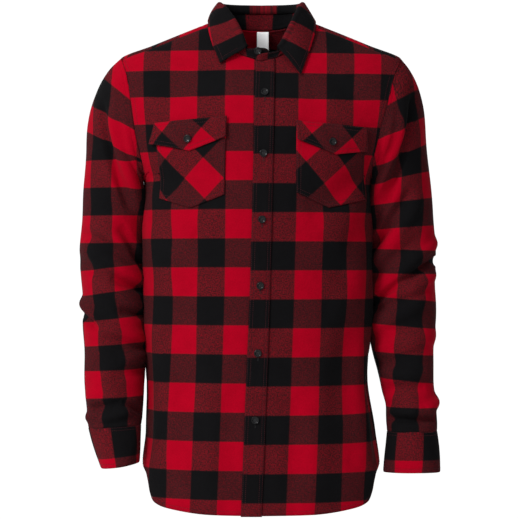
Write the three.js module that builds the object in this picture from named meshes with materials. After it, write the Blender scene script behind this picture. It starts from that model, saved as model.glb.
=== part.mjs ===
// A men's long-sleeved flannel shirt, filled out as if worn, with nobody in it.
// Millimetres. +X is to the right seen from the front, the front faces -Y, and +Z is up.
// The origin is the middle of the neck, level with the shoulders' inner ends, where a wearer carries the shirt.
import * as THREE from "three";

// ---------------------------------------------------------------- driving dimensions
const CLOTH = 1.6; // wall of one thickness of brushed flannel, as drawn
const DOUBLE = 2.4; // wall where the cloth is sewn double
const SEAM_GAP = 0.3; // between two pieces at a seam
const ARMHOLE_GAP = 1.2; // by which a sleeve stands back from the armhole's tight curve
const LIFT = 0.9; // from a panel to the underside of what is sewn on it
const ROUND = 2.2; // exponent of the body's sections: 2 is an ellipse

// Body sections, one row per height: half widths at the wearer's right (-X) and left (+X), depths before and behind the middle.
const BODY = [
  { z: -800, right: 188, left: 186, front: 118, back: 126 },
  { z: -765, right: 187, left: 186, front: 117, back: 126 },
  { z: -700, right: 187, left: 187, front: 115, back: 124 },
  { z: -640, right: 179, left: 179, front: 112, back: 118 },
  { z: -560, right: 178, left: 167, front: 109, back: 110 },
  { z: -450, right: 181, left: 172, front: 110, back: 101 },
  { z: -350, right: 182.5, left: 171, front: 116, back: 106 },
  { z: -254, right: 182, left: 171, front: 122, back: 114 },
  { z: -220, right: 199, left: 187, front: 121, back: 117 },
  { z: -180, right: 222, left: 213, front: 117, back: 118 },
  { z: -124, right: 238, left: 236, front: 101, back: 114 },
  { z: -86, right: 238, left: 238, front: 77, back: 108 },
  { z: -62, right: 228, left: 228, front: 60, back: 100 },
  { z: -53, right: 220, left: 220, front: 54, back: 95 },
  { z: -34, right: 173, left: 173, front: 42, back: 83 },
  { z: -15, right: 126.5, left: 126.5, front: 31, back: 68 },
  { z: -4, right: 99, left: 99, front: 22, back: 59 },
  { z: 2, right: 84, left: 84, front: 17, back: 51 },
  { z: 9, right: 66, left: 66, front: 12, back: 38 },
  { z: 12, right: 60, left: 60, front: 10, back: 32 },
];
// Neck seam, by the angle round the neck from the middle of the front.
const NECK = [
  { angle: 0, z: -62 },
  { angle: 33, z: -50 },
  { angle: 63, z: -18 },
  { angle: 80, z: -1 },
  { angle: 92, z: 6 },
  { angle: 104, z: 7.5 },
  { angle: 128, z: 3 },
  { angle: 153, z: -3 },
  { angle: 180, z: -5 },
];
// Armhole seam: how far it lies from the middle of the body at each height.
const ARMHOLE = [
  { z: -246, right: 182, left: 171 },
  { z: -225, right: 185, left: 173 },
  { z: -175, right: 196, left: 184 },
  { z: -128, right: 203, left: 197 },
  { z: -82, right: 210, left: 208 },
  { z: -64, right: 216, left: 216 },
  { z: -53, right: 220, left: 220 },
];
const ARMHOLE_TOP = -53;
const ARMHOLE_BOTTOM = -246;
const YOKE_BACK = -95; // height of the yoke's seam across the back
const YOKE_DROP = 6; // how far the yoke's front seam lies below the shoulder ridge
// Hem height by the angle round the body from the middle of the front: shirt tails with high sides.
const HEM = [
  { angle: 0, z: -765 },
  { angle: 35, z: -764 },
  { angle: 60, z: -757 },
  { angle: 71, z: -748 },
  { angle: 75, z: -732 },
  { angle: 77, z: -716 },
  { angle: 80, z: -704 },
  { angle: 90, z: -695 },
  { angle: 101, z: -703 },
  { angle: 106, z: -730 },
  { angle: 112, z: -750 },
  { angle: 140, z: -766 },
  { angle: 180, z: -772 },
];

// Placket: its free edge and its sewn edge, as distances from the middle, by height.
const PLACKET = [
  { z: -766, edge: -31, seam: 1.5 },
  { z: -620, edge: -25.5, seam: 7.5 },
  { z: -400, edge: -16.6, seam: 15 },
  { z: -200, edge: -11.5, seam: 19.5 },
  { z: -62, edge: -8, seam: 22 },
];
const UNDER_PLACKET = 7; // how far the left front reaches under the placket
const PLACKET_LIFT = 1.2; // from the fronts to the placket's underside
const FRONT_OPENING = 1.2; // between the two fronts' edges, under the placket

// Sleeve sections from the armhole to the cuff: outer and inner edge seen from the front, middle and half depth.
// hold is how much of the armhole's own outline is left in the section.
const SLEEVE = {
  right: [
    { at: 0, outX: -220, outZ: -53, inX: -182, inZ: -246, midY: 0, deep: 66, hold: 1 },
    { at: 1, outX: -241, outZ: -73, inX: -190.5, inZ: -250.5, midY: 3, deep: 68, hold: 0.72 },
    { at: 2, outX: -259, outZ: -100, inX: -187.5, inZ: -264, midY: 14, deep: 68, hold: 0.42 },
    { at: 3, outX: -271.8, outZ: -138, inX: -185, inZ: -284, midY: 22, deep: 68, hold: 0.18 },
    { at: 4, outX: -278, outZ: -180, inX: -183.5, inZ: -308, midY: 28, deep: 68, hold: 0 },
    { at: 5, outX: -281, outZ: -240, inX: -182.5, inZ: -342, midY: 30, deep: 67, hold: 0 },
    { at: 6, outX: -284.5, outZ: -300, inX: -182.5, inZ: -382, midY: 30, deep: 66, hold: 0 },
    { at: 7, outX: -287.5, outZ: -356, inX: -182.5, inZ: -420, midY: 29, deep: 64, hold: 0 },
    { at: 8, outX: -286, outZ: -400, inX: -182.5, inZ: -452, midY: 26, deep: 62, hold: 0 },
    { at: 9, outX: -283, outZ: -440, inX: -182.5, inZ: -482, midY: 22, deep: 60, hold: 0 },
    { at: 10, outX: -282.5, outZ: -480, inX: -182.5, inZ: -512, midY: 17, deep: 57, hold: 0 },
    { at: 11, outX: -280.5, outZ: -520, inX: -182.5, inZ: -542, midY: 10, deep: 54, hold: 0 },
    { at: 12, outX: -278.5, outZ: -560, inX: -184, inZ: -573, midY: 2, deep: 49, hold: 0 },
    { at: 13, outX: -275.5, outZ: -600, inX: -187, inZ: -603, midY: -8, deep: 44, hold: 0 },
    { at: 14, outX: -271.5, outZ: -636, inX: -188.5, inZ: -631, midY: -16, deep: 38, hold: 0 },
  ],
  left: [
    { at: 0, outX: 220, outZ: -53, inX: 171, inZ: -246, midY: 0, deep: 66, hold: 1 },
    { at: 1, outX: 236.5, outZ: -73, inX: 180, inZ: -250.5, midY: 3, deep: 68, hold: 0.72 },
    { at: 2, outX: 250, outZ: -100, inX: 177, inZ: -264, midY: 14, deep: 68, hold: 0.42 },
    { at: 3, outX: 259, outZ: -138, inX: 175, inZ: -284, midY: 22, deep: 68, hold: 0.18 },
    { at: 4, outX: 263.5, outZ: -180, inX: 173, inZ: -308, midY: 28, deep: 68, hold: 0 },
    { at: 5, outX: 268.6, outZ: -240, inX: 172, inZ: -342, midY: 30, deep: 67, hold: 0 },
    { at: 6, outX: 274.5, outZ: -300, inX: 172, inZ: -382, midY: 30, deep: 66, hold: 0 },
    { at: 7, outX: 277, outZ: -356, inX: 172, inZ: -420, midY: 29, deep: 64, hold: 0 },
    { at: 8, outX: 276.5, outZ: -400, inX: 172, inZ: -452, midY: 26, deep: 62, hold: 0 },
    { at: 9, outX: 278, outZ: -440, inX: 172.5, inZ: -482, midY: 22, deep: 60, hold: 0 },
    { at: 10, outX: 276.5, outZ: -480, inX: 176, inZ: -512, midY: 17, deep: 57, hold: 0 },
    { at: 11, outX: 274, outZ: -520, inX: 183, inZ: -544, midY: 10, deep: 54, hold: 0 },
    { at: 12, outX: 272, outZ: -560, inX: 190, inZ: -576, midY: 2, deep: 49, hold: 0 },
    { at: 13, outX: 276.5, outZ: -604, inX: 198, inZ: -606, midY: -8, deep: 44, hold: 0 },
    { at: 14, outX: 277, outZ: -641, inX: 198, inZ: -641, midY: -16, deep: 40, hold: 0 },
  ],
};
// Cuffs: the lower edge; the upper edge is the sleeve's last section.
const CUFF = {
  right: { outX: -251.5, outZ: -698, inX: -191, inZ: -689, midY: -28, deep: 48 },
  left: { outX: 282, outZ: -704, inX: 192, inZ: -704, midY: -26, deep: 34 },
};
const CUFF_OPENS = -75; // turn round the wrist where the cuff's under end starts, at the back
const CUFF_OVERLAP = 40; // degrees that the cuff's ends lie over each other
const SLEEVE_SLIT = { from: 11.2, to: 13.97, turn: -68, half: 15 }; // the placket above the cuff

// Collar band: its upper edge, where the collar folds, by the angle round the neck: distances from the
// middle at the wearer's right and left, then y and z. The opening sits a little towards the left.
const FOLD = [
  { angle: 0, right: 0, left: 0, y: -61.5, z: -40 },
  { angle: 20, right: 22.5, left: 26, y: -57.5, z: -41 },
  { angle: 35, right: 32.5, left: 42, y: -50, z: -17 },
  { angle: 50, right: 43.5, left: 52, y: -39, z: 4 },
  { angle: 70, right: 58, left: 61, y: -21, z: 24 },
  { angle: 90, right: 64.5, left: 64.5, y: 2, z: 31 },
  { angle: 120, right: 57, left: 57, y: 33, z: 31.5 },
  { angle: 150, right: 34, left: 34, y: 51, z: 31.5 },
  { angle: 180, right: 0, left: 0, y: 57, z: 31.5 },
];
// Collar's outer edge, by the same angle: on the front by its place, round the back by its height.
const LEAF = {
  right: [
    { angle: 20, x: 64, z: -68 },
    { angle: 35, x: 69, z: -54 },
    { angle: 50, x: 76, z: -38 },
    { angle: 70, x: 83, z: -10 },
    { angle: 95, x: 0, z: 3 },
    { angle: 120, x: 0, z: -1 },
    { angle: 150, x: 0, z: -10 },
    { angle: 180, x: 0, z: -13 },
  ],
  left: [
    { angle: 20, x: 62, z: -87 },
    { angle: 35, x: 71, z: -62 },
    { angle: 50, x: 80, z: -36 },
    { angle: 70, x: 86, z: -11 },
    { angle: 95, x: 0, z: 2 },
    { angle: 120, x: 0, z: -1 },
    { angle: 150, x: 0, z: -10 },
    { angle: 180, x: 0, z: -13 },
  ],
};
const LEAF_STARTS = 20; // angle of the leaf's front ends
const LEAF_LIFT = 5; // from the shirt to the outside of the leaf's edge
const BAND_OVER_END = -6; // angle where the band's upper end stops, past the middle
const BAND_UNDER_END = 372; // and where its lower end does, having gone right round

// Patch pockets: corners seen from the front, and flaps.
const POCKETS = {
  right: {
    topLeft: [-163, -164], topRight: [-53, -160], bottomRight: [-56, -271], bottom: [-108, -291], bottomLeft: [-153, -276],
    flapTopLeft: [-164.5, -160], flapTopRight: [-52, -152], flapRight: [-53, -183], flapPoint: [-108, -204], flapLeft: [-170, -191],
    button: [-110.5, -186],
  },
  left: {
    topLeft: [54, -164], topRight: [160, -168], bottomRight: [157, -278], bottom: [105, -291], bottomLeft: [53.5, -268],
    flapTopLeft: [53, -158.5], flapTopRight: [163, -167], flapRight: [161, -202], flapPoint: [113, -209], flapLeft: [55, -187],
    button: [107.5, -190],
  },
};
const BUTTON = { radius: 6, height: 2.6, dish: 0.9, rim: 1.5 };
const FRONT_BUTTONS = [-116, -208.5, -309, -411, -515, -618]; // heights of the six on the placket
const BAND_BUTTON_ANGLE = 356; // on the band's lower end
const LABEL = { width: 19, length: 38, wall: 1, x: 3, top: -7 };

// How finely the pieces are divided. Pieces that share a seam share these numbers.
const STEPS = { across: 9, neckBack: 4, belowArm: 10, frontArm: 9, yokeArm: 5, backArm: 6, neckFront: 5, sleeve: 16 };

// ---------------------------------------------------------------- curves and sections
const RAD = Math.PI / 180;

// Monotone cubic through a table's rows, so that a section never overshoots its neighbours.
function lookup(table, key, at, column) {
  const last = table.length - 1;
  if (at <= table[0][key]) return table[0][column];
  if (at >= table[last][key]) return table[last][column];
  let i = 0;
  while (table[i + 1][key] < at) i++;
  const step = (k) => table[k + 1][key] - table[k][key];
  const slope = (k) => (table[k + 1][column] - table[k][column]) / step(k);
  const tangent = (k) => {
    if (k === 0) return slope(0);
    if (k === last) return slope(last - 1);
    const before = slope(k - 1);
    const after = slope(k);
    if (before * after <= 0) return 0;
    return (3 * (step(k - 1) + step(k))) / ((2 * step(k) + step(k - 1)) / before + (step(k) + 2 * step(k - 1)) / after);
  };
  const h = step(i);
  const t = (at - table[i][key]) / h;
  return (
    table[i][column] * (1 + 2 * t) * (1 - t) ** 2 +
    h * tangent(i) * t * (1 - t) ** 2 +
    table[i + 1][column] * t * t * (3 - 2 * t) +
    h * tangent(i + 1) * t * t * (t - 1)
  );
}

// A point of the body's surface. The angle runs from the front's middle to +X, the back and -X.
function bodyPoint(angle, z) {
  const s = Math.sin(angle * RAD);
  const c = Math.cos(angle * RAD);
  const wide = lookup(BODY, "z", z, s > 0 ? "left" : "right");
  const deep = lookup(BODY, "z", z, c > 0 ? "front" : "back");
  const r = (Math.abs(s / wide) ** ROUND + Math.abs(c / deep) ** ROUND) ** (-1 / ROUND);
  return new THREE.Vector3(r * s, -r * c, z);
}

// The angle at which a body section reaches a distance x from the middle, on the front or the back.
function angleAt(x, z, front = true) {
  const wide = lookup(BODY, "z", z, x > 0 ? "left" : "right");
  const deep = lookup(BODY, "z", z, front ? "front" : "back");
  const share = Math.min(1, Math.abs(x) / wide);
  const y = deep * (1 - share ** ROUND) ** (1 / ROUND);
  const angle = Math.atan2(Math.abs(x), front ? y : -y) / RAD;
  return x > 0 ? angle : -angle;
}

function frontNormal(x, z) {
  const e = 1;
  const at = (dx, dz) => bodyPoint(angleAt(x + dx, z + dz), z + dz);
  const across = at(e, 0).sub(at(-e, 0));
  const up = at(0, e).sub(at(0, -e));
  return across.cross(up).normalize();
}

// A point on the front, seen from the front at (x, z), moved out from the cloth. The panels' facets are flat, so
// where one stands proud of the curve it's drawn from, the facet counts.
function onFront(x, z, out = 0) {
  const point = bodyPoint(angleAt(x, z), z);
  for (const [a, b, c] of facets) {
    const whole = (b.x - a.x) * (c.z - a.z) - (c.x - a.x) * (b.z - a.z);
    const v = ((x - a.x) * (c.z - a.z) - (c.x - a.x) * (z - a.z)) / whole;
    const w = ((b.x - a.x) * (z - a.z) - (x - a.x) * (b.z - a.z)) / whole;
    if (v < 0 || w < 0 || v + w > 1) continue;
    point.y = Math.min(point.y, a.y + v * (b.y - a.y) + w * (c.y - a.y));
  }
  return point.addScaledVector(frontNormal(x, z), out);
}
const facets = []; // of the two fronts

// ---------------------------------------------------------------- boundary curves, as [angle, z] pairs on the body
const mirrored = (side) => (side === "left" ? 1 : -1); // the wearer's left is at +X

function neckPoint(angle) {
  return [angle, lookup(NECK, "angle", Math.abs(angle), "z")];
}

function hemPoint(angle) {
  return [angle, lookup(HEM, "angle", Math.abs(angle), "z")];
}

// turn is 0 at the shoulder point, 90 at the front, 180 at the underarm and 270 at the back.
function armholePoint(side, turn) {
  const middle = (ARMHOLE_TOP + ARMHOLE_BOTTOM) / 2;
  const half = (ARMHOLE_TOP - ARMHOLE_BOTTOM) / 2;
  const z = middle + half * Math.cos(turn * RAD);
  const x = mirrored(side) * lookup(ARMHOLE, "z", z, side);
  return [angleAt(x, z, (turn + 360) % 360 <= 180), z];
}

// The turn at which the armhole passes a height, on the front or the back.
function turnAt(z, front) {
  const middle = (ARMHOLE_TOP + ARMHOLE_BOTTOM) / 2;
  const half = (ARMHOLE_TOP - ARMHOLE_BOTTOM) / 2;
  const turn = Math.acos((z - middle) / half) / RAD;
  return front ? turn : 360 - turn;
}
const YOKE_FRONT_TURN = turnAt(ARMHOLE_TOP - YOKE_DROP, true);
const YOKE_BACK_TURN = turnAt(YOKE_BACK, false);
const YOKE_NECK_ANGLE = 80; // where the yoke's front seam meets the neck seam

const spread = (from, to, n) => Array.from({ length: n + 1 }, (_, i) => from + ((to - from) * i) / n);

// The armhole's turns, split where the front, yoke and back meet.
const FRONT_TURNS = spread(180, YOKE_FRONT_TURN, STEPS.frontArm);
const YOKE_TURNS = spread(YOKE_FRONT_TURN, YOKE_BACK_TURN - 360, STEPS.yokeArm);
const BACK_TURNS = spread(YOKE_BACK_TURN, 180, STEPS.backArm);

// The yoke's front seam, from the neck out to the armhole.
function yokeFront(side) {
  const start = neckPoint(mirrored(side) * YOKE_NECK_ANGLE);
  const end = armholePoint(side, YOKE_FRONT_TURN);
  return spread(0, 1, STEPS.across).map((t) => {
    if (t === 0) return start;
    if (t === 1) return end;
    const z = start[1] + (end[1] - start[1]) * t;
    const x = mirrored(side) * lookup(BODY, "z", z + YOKE_DROP, side);
    return [angleAt(x, z), z];
  });
}

// The side seam from the hem up to the underarm.
function sideSeam(side) {
  const bottom = hemPoint(mirrored(side) * 90);
  return spread(0, 1, STEPS.belowArm).map((t) => {
    const z = bottom[1] + (ARMHOLE_BOTTOM - bottom[1]) * t;
    return [mirrored(side) * 90, z];
  });
}

// A patch between four curves that share their corners, as rows of [angle, z] from bottom to top.
function coons(bottom, top, start, end) {
  const nu = bottom.length - 1;
  const nv = start.length - 1;
  return start.map((_, j) =>
    bottom.map((_, i) => {
      const u = i / nu;
      const v = j / nv;
      return [0, 1].map((k) => {
        const between = (1 - v) * bottom[i][k] + v * top[i][k] + (1 - u) * start[j][k] + u * end[j][k];
        const corners =
          (1 - u) * (1 - v) * bottom[0][k] + u * (1 - v) * bottom[nu][k] + (1 - u) * v * top[0][k] + u * v * top[nu][k];
        return between - corners;
      });
    }),
  );
}

const toBody = (rows) => rows.map((row) => row.map(([angle, z]) => bodyPoint(angle, z)));

// A front, from its middle edge to its side. middleX gives that edge's place at a height.
function frontPatch(side, middleX) {
  const sign = mirrored(side);
  const neckStart = neckAngleAt(sign, middleX);
  const topZ = neckPoint(neckStart)[1];
  const hemStart = angleAt(middleX(HEM[0].z), HEM[0].z);
  const straight = STEPS.belowArm + STEPS.frontArm - STEPS.neckFront;
  const edge = spread(0, 1, straight).map((t) => {
    const z = HEM[0].z + (topZ - HEM[0].z) * (1 - (1 - t) ** 1.15);
    return [angleAt(middleX(z), z), z];
  });
  const neck = spread(neckStart, sign * YOKE_NECK_ANGLE, STEPS.neckFront).slice(1).map(neckPoint);
  const armhole = FRONT_TURNS.slice(1).map((turn) => armholePoint(side, turn));
  const hem = spread(hemStart, sign * 90, STEPS.across).map((angle) => hemPoint(angle));
  hem[0] = edge[0];
  const patch = coons(hem, yokeFront(side), [...edge, ...neck], [...sideSeam(side), ...armhole]);
  return toBody(sign > 0 ? patch : patch.map((row) => [...row].reverse()));
}

// Where the neck seam meets a front's middle edge.
function neckAngleAt(sign, middleX) {
  const z = NECK[0].z;
  return angleAt(middleX(z), z);
}

function backPatch() {
  const across = 2 * STEPS.across + STEPS.neckBack;
  const hem = spread(90, 270, across).map((angle) => {
    const [, z] = hemPoint(angle <= 180 ? angle : 360 - angle);
    return [angle, z];
  });
  const side = (name) => [
    ...sideSeam(name),
    ...[...BACK_TURNS].reverse().slice(1).map((turn) => armholePoint(name, turn)),
  ];
  const turned = (curve) => curve.map(([angle, z]) => [angle < 0 ? angle + 360 : angle, z]);
  return toBody(coons(hem, yokeBack(), turned(side("left")), turned(side("right"))));
}

// The yoke's seam across the back, from the wearer's left armhole to the right.
function yokeBack() {
  const [from] = armholePoint("left", YOKE_BACK_TURN);
  const [to] = armholePoint("right", YOKE_BACK_TURN);
  const across = 2 * STEPS.across + STEPS.neckBack;
  return spread(from, to + 360, across).map((angle) => [angle, YOKE_BACK]);
}

function yokePatch() {
  const turned = (curve) => curve.map(([angle, z]) => [angle < 0 ? angle + 360 : angle, z]);
  const neck = spread(YOKE_NECK_ANGLE, 360 - YOKE_NECK_ANGLE, STEPS.neckBack).map((angle) => [
    angle,
    neckPoint(angle <= 180 ? angle : 360 - angle)[1],
  ]);
  const top = [
    ...[...yokeFront("left")].reverse(),
    ...neck.slice(1, -1),
    ...turned(yokeFront("right")),
  ];
  const side = (name) => turned([...YOKE_TURNS].reverse().map((turn) => armholePoint(name, turn)));
  return toBody(coons(yokeBack(), top, side("left"), side("right")));
}

// ---------------------------------------------------------------- sleeves
const SLEEVE_TURNS = [...FRONT_TURNS.slice(0, -1), ...YOKE_TURNS.slice(0, -1), ...BACK_TURNS.slice(0, -1).map((t) => t - 360), -180];

function sectionPoint(row, turn) {
  const c = Math.cos(turn * RAD);
  const s = Math.sin(turn * RAD);
  return new THREE.Vector3(
    (row.outX + row.inX) / 2 + ((row.outX - row.inX) / 2) * c,
    row.midY - row.deep * s,
    (row.outZ + row.inZ) / 2 + ((row.outZ - row.inZ) / 2) * c,
  );
}

function sleevePoint(side, turn, at) {
  const table = SLEEVE[side];
  const row = {};
  for (const column of ["outX", "outZ", "inX", "inZ", "midY", "deep", "hold"]) {
    row[column] = lookup(table, "at", at, column);
  }
  const point = sectionPoint(row, turn);
  if (row.hold > 0) {
    const seam = bodyPoint(...armholePoint(side, turn));
    point.addScaledVector(seam.sub(sectionPoint(table[0], turn)), row.hold);
  }
  return point;
}

// Rows run from the armhole to the cuff.
function sleevePatch(side) {
  const last = SLEEVE[side].length - 1;
  const rows = spread(0, last, STEPS.sleeve).map((at) => SLEEVE_TURNS.map((turn) => sleevePoint(side, turn, at)));
  return side === "left" ? rows.map((row) => [...row].reverse()) : rows;
}

// ---------------------------------------------------------------- walls
const key = (p) => p.toArray().map((v) => Math.round(v * 50 + 0.137)).join(","); // off the round numbers, so that both sides agree
const seamNormals = new Map();

// Normals of a shell at its points.
function normalsOf(rows, closed) {
  const nu = rows[0].length - 1;
  const sums = rows.map((row) => row.map(() => new THREE.Vector3()));
  for (let j = 0; j + 1 < rows.length; j++) {
    for (let i = 0; i < nu; i++) {
      const [a, b, c, d] = [rows[j][i], rows[j][i + 1], rows[j + 1][i + 1], rows[j + 1][i]];
      const face = c.clone().sub(a).cross(d.clone().sub(b));
      for (const [v, u] of [[j, i], [j, i + 1], [j + 1, i + 1], [j + 1, i]]) sums[v][u].add(face);
    }
  }
  if (closed) {
    for (const row of sums) {
      row[0].add(row[nu]);
      row[nu].copy(row[0]);
    }
  }
  return sums.map((row) => row.map((n) => n.normalize()));
}

// Pieces that meet at a seam are cut square to one surface, so each adds its normals at its points.
function joined(rows, closed = false) {
  normalsOf(rows, closed).forEach((row, j) =>
    row.slice(closed ? 1 : 0).forEach((n, i) => {
      const at = key(rows[j][i + (closed ? 1 : 0)]);
      seamNormals.set(at, (seamNormals.get(at) ?? new THREE.Vector3()).add(n));
    }),
  );
  return rows;
}

// The shell with the named edges pulled back from their seams.
function cutBack(rows, normals, edges, closed, gap) {
  const nv = rows.length - 1;
  const nu = rows[0].length - 1;
  const out = rows.map((row) => row.map((p) => p.clone()));
  const within = (v, top) => Math.max(0, Math.min(top, v));
  const before = (i) => (closed ? (i - 1 + nu) % nu : within(i - 1, nu));
  const after = (i) => (closed ? (i + 1) % nu : within(i + 1, nu));
  const pull = (j, i, inwards, next, last) => {
    const n = normals[j][i];
    const along = next.clone().sub(last).normalize();
    const way = inwards.clone().sub(rows[j][i]);
    way.addScaledVector(n, -way.dot(n));
    way.addScaledVector(along, -way.dot(along)).normalize();
    out[j][i].addScaledVector(way, gap);
  };
  for (let j = 0; j <= nv; j++) {
    const [next, last] = [within(j + 1, nv), within(j - 1, nv)];
    if (edges.includes("start")) pull(j, 0, rows[j][1], rows[next][0], rows[last][0]);
    if (edges.includes("end")) pull(j, nu, rows[j][nu - 1], rows[next][nu], rows[last][nu]);
  }
  for (let i = 0; i <= nu; i++) {
    const [next, last] = [after(i % (closed ? nu : nu + 1)), before(i % (closed ? nu : nu + 1))];
    if (edges.includes("bottom")) pull(0, i, rows[1][i], rows[0][next], rows[0][last]);
    if (edges.includes("top")) pull(nv, i, rows[nv - 1][i], rows[nv][next], rows[nv][last]);
  }
  return out;
}

// A closed wall whose outside is the shell, moved out by lift where that is given.
function wall(rows, thickness, { seams = [], closed = false, alone = false, gap = SEAM_GAP / 2, lift = () => 0 } = {}) {
  const own = normalsOf(rows, closed);
  const shared = (p, n) => (alone ? n : seamNormals.get(key(p)).clone().normalize());
  const normals = rows.map((row, j) => row.map((p, i) => shared(p, own[j][i])));
  const outer = cutBack(rows, normals, seams, closed, gap);
  const moved = (by) =>
    outer.map((row, j) =>
      row.map((p, i) => {
        const n = normals[j][i];
        return p.clone().addScaledVector(n, (lift(j, i) - by) / Math.max(0.55, n.dot(own[j][i])));
      }),
    );
  return solidBetween(moved(0), moved(thickness), closed);
}

// Triangles of a closed solid between two matching shells, whose rows run left to right and upwards seen from outside.
function solidBetween(outer, inner, closed = false) {
  const nv = outer.length - 1;
  const nu = outer[0].length - 1;
  const triangles = [];
  const quad = (a, b, c, d) => triangles.push([a, b, c], [a, c, d]);
  for (let j = 0; j < nv; j++) {
    for (let i = 0; i < nu; i++) {
      quad(outer[j][i], outer[j][i + 1], outer[j + 1][i + 1], outer[j + 1][i]);
      quad(inner[j][i], inner[j + 1][i], inner[j + 1][i + 1], inner[j][i + 1]);
    }
  }
  for (let i = 0; i < nu; i++) {
    quad(outer[0][i], inner[0][i], inner[0][i + 1], outer[0][i + 1]);
    quad(outer[nv][i], outer[nv][i + 1], inner[nv][i + 1], inner[nv][i]);
  }
  if (!closed) {
    for (let j = 0; j < nv; j++) {
      quad(outer[j][0], outer[j + 1][0], inner[j + 1][0], inner[j][0]);
      quad(outer[j][nu], inner[j][nu], inner[j + 1][nu], outer[j + 1][nu]);
    }
  }
  return geometryOf(triangles);
}

function geometryOf(triangles) {
  const geometry = new THREE.BufferGeometry();
  const flat = triangles.flatMap((t) => t.flatMap((p) => p.toArray()));
  geometry.setAttribute("position", new THREE.Float32BufferAttribute(flat, 3));
  geometry.computeVertexNormals();
  return geometry;
}

// ---------------------------------------------------------------- the pieces
const COLOURS = { cloth: 0x7a1620, button: 0x0c0c0e, label: 0xe9e9e6 };
const shirt = new THREE.Group();

function add(name, geometry, kind = "cloth") {
  const roughness = { cloth: 0.95, button: 0.3, label: 0.8 }[kind];
  const material = new THREE.MeshStandardMaterial({ color: COLOURS[kind], roughness, metalness: 0 });
  const mesh = new THREE.Mesh(geometry, material);
  mesh.name = name;
  shirt.add(mesh);
}

const placketAt = (column) => (z) => lookup(PLACKET, "z", z, column);
const leftEdge = (z) => placketAt("seam")(z) - UNDER_PLACKET;
const rightEdge = (z) => leftEdge(z) - FRONT_OPENING;

const panels = {
  front_right: joined(frontPatch("right", rightEdge)),
  front_left: joined(frontPatch("left", leftEdge)),
  back: joined(backPatch()),
  yoke: joined(yokePatch()),
  sleeve_right: joined(sleevePatch("right"), true),
  sleeve_left: joined(sleevePatch("left"), true),
};
for (const rows of [panels.front_right, panels.front_left]) {
  for (let j = 0; j + 1 < rows.length; j++) {
    for (let i = 0; i + 1 < rows[j].length; i++) {
      const [a, b, c, d] = [rows[j][i], rows[j][i + 1], rows[j + 1][i + 1], rows[j + 1][i]];
      facets.push([a, b, c], [a, c, d]);
    }
  }
}
const PANEL_SEAMS = {
  front_right: ["start", "top"],
  front_left: ["end", "top"],
  back: ["start", "end", "top"],
  yoke: ["start", "end", "top", "bottom"],
  sleeve_right: ["bottom", "top"],
  sleeve_left: ["bottom", "top"],
};
for (const [name, rows] of Object.entries(panels)) {
  const closed = name.startsWith("sleeve");
  const gap = closed ? ARMHOLE_GAP : SEAM_GAP / 2;
  add(name, wall(rows, name === "yoke" ? DOUBLE : CLOTH, { seams: PANEL_SEAMS[name], closed, gap }));
}

// Placket: a double strip down the left front, over the edges of both fronts.
const placketRows = spread(0, 1, 32).map((t) =>
  spread(0, 1, 3).map((u) => {
    const [edge, seam] = ["edge", "seam"].map((column) => {
      const x = placketAt(column)(NECK[0].z);
      const top = neckPoint(angleAt(x, NECK[0].z))[1] - 3.8;
      const z = HEM[0].z - 1 + (top - HEM[0].z + 1) * t;
      return [placketAt(column)(z), z];
    });
    return onFront(edge[0] + (seam[0] - edge[0]) * u, edge[1] + (seam[1] - edge[1]) * u);
  }),
);
add("placket", wall(placketRows, DOUBLE, { alone: true, lift: () => PLACKET_LIFT + DOUBLE }));

// ---- collar
const BAND_ANGLES = [
  ...spread(BAND_OVER_END, 90, 8).slice(0, -1),
  ...spread(90, 270, 12).slice(0, -1),
  ...spread(270, BAND_UNDER_END, 8),
];
const folded = (angle) => Math.abs(((((angle + 180) % 360) + 360) % 360) - 180); // distance in degrees from the front

function foldPoint(angle, drop = 0) {
  const from = folded(angle);
  const right = Math.sin(angle * RAD) < 0;
  const side = right ? -1 : 1;
  const [x, y, z] = [right ? "right" : "left", "y", "z"].map((column) => lookup(FOLD, "angle", from, column));
  return new THREE.Vector3(x * side, y, z - drop);
}

// The upper end lies over the lower one at the front, rather lower and raised by the button under it.
const overEnd = (angle, reach) => Math.max(0, 1 - Math.max(0, angle) / reach);
const bandRows = spread(0, 1, 4).map((t) =>
  BAND_ANGLES.map((angle) => {
    const seam = bodyPoint(...neckPoint(angle > 180 ? angle - 360 : angle));
    return seam.lerp(foldPoint(angle, 1.4 + 9 * overEnd(angle, 30)), t);
  }),
);
function bandLift(j, i) {
  const angle = BAND_ANGLES[i];
  const underLeaf = Math.min(1, Math.max(0, (angle - 6) / 14)) * (j / (bandRows.length - 1));
  return 0.4 + 3.3 * Math.min(1, 1.7 * overEnd(angle, 60)) * (1 - 0.85 * underLeaf) + 3.2 * overEnd(angle, 14);
}
add("collar_stand", wall(bandRows, DOUBLE, { alone: true, seams: ["bottom"], gap: 1.9, lift: bandLift }));

// Collar leaf: rolled over the band's upper edge and down to its own edge, off the shoulders.
const LEAF_ANGLES = [
  ...spread(LEAF_STARTS, 90, 6).slice(0, -1),
  ...spread(90, 270, 12).slice(0, -1),
  ...spread(270, 360 - LEAF_STARTS, 6),
];

function leafEdge(angle) {
  const side = angle <= 180 ? "left" : "right";
  const from = folded(angle);
  const row = (column) => lookup(LEAF[side], "angle", from, column);
  const front = LEAF[side].find((r) => r.angle === 70);
  if (from <= front.angle) return onFront(mirrored(side) * row("x"), row("z"), LEAF_LIFT);
  const start = onFront(mirrored(side) * front.x, front.z, LEAF_LIFT);
  const around = bodyPoint(mirrored(side) * Math.max(from, 95), lookup(LEAF[side], "angle", Math.max(from, 95), "z"));
  const out = new THREE.Vector3(around.x, around.y, 0).normalize().setZ(0.6).normalize();
  around.addScaledVector(out, LEAF_LIFT);
  const share = Math.min(1, (from - front.angle) / (95 - front.angle));
  return start.lerp(around, share).add(new THREE.Vector3(0, 0, 8 * share * (1 - share)));
}

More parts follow.
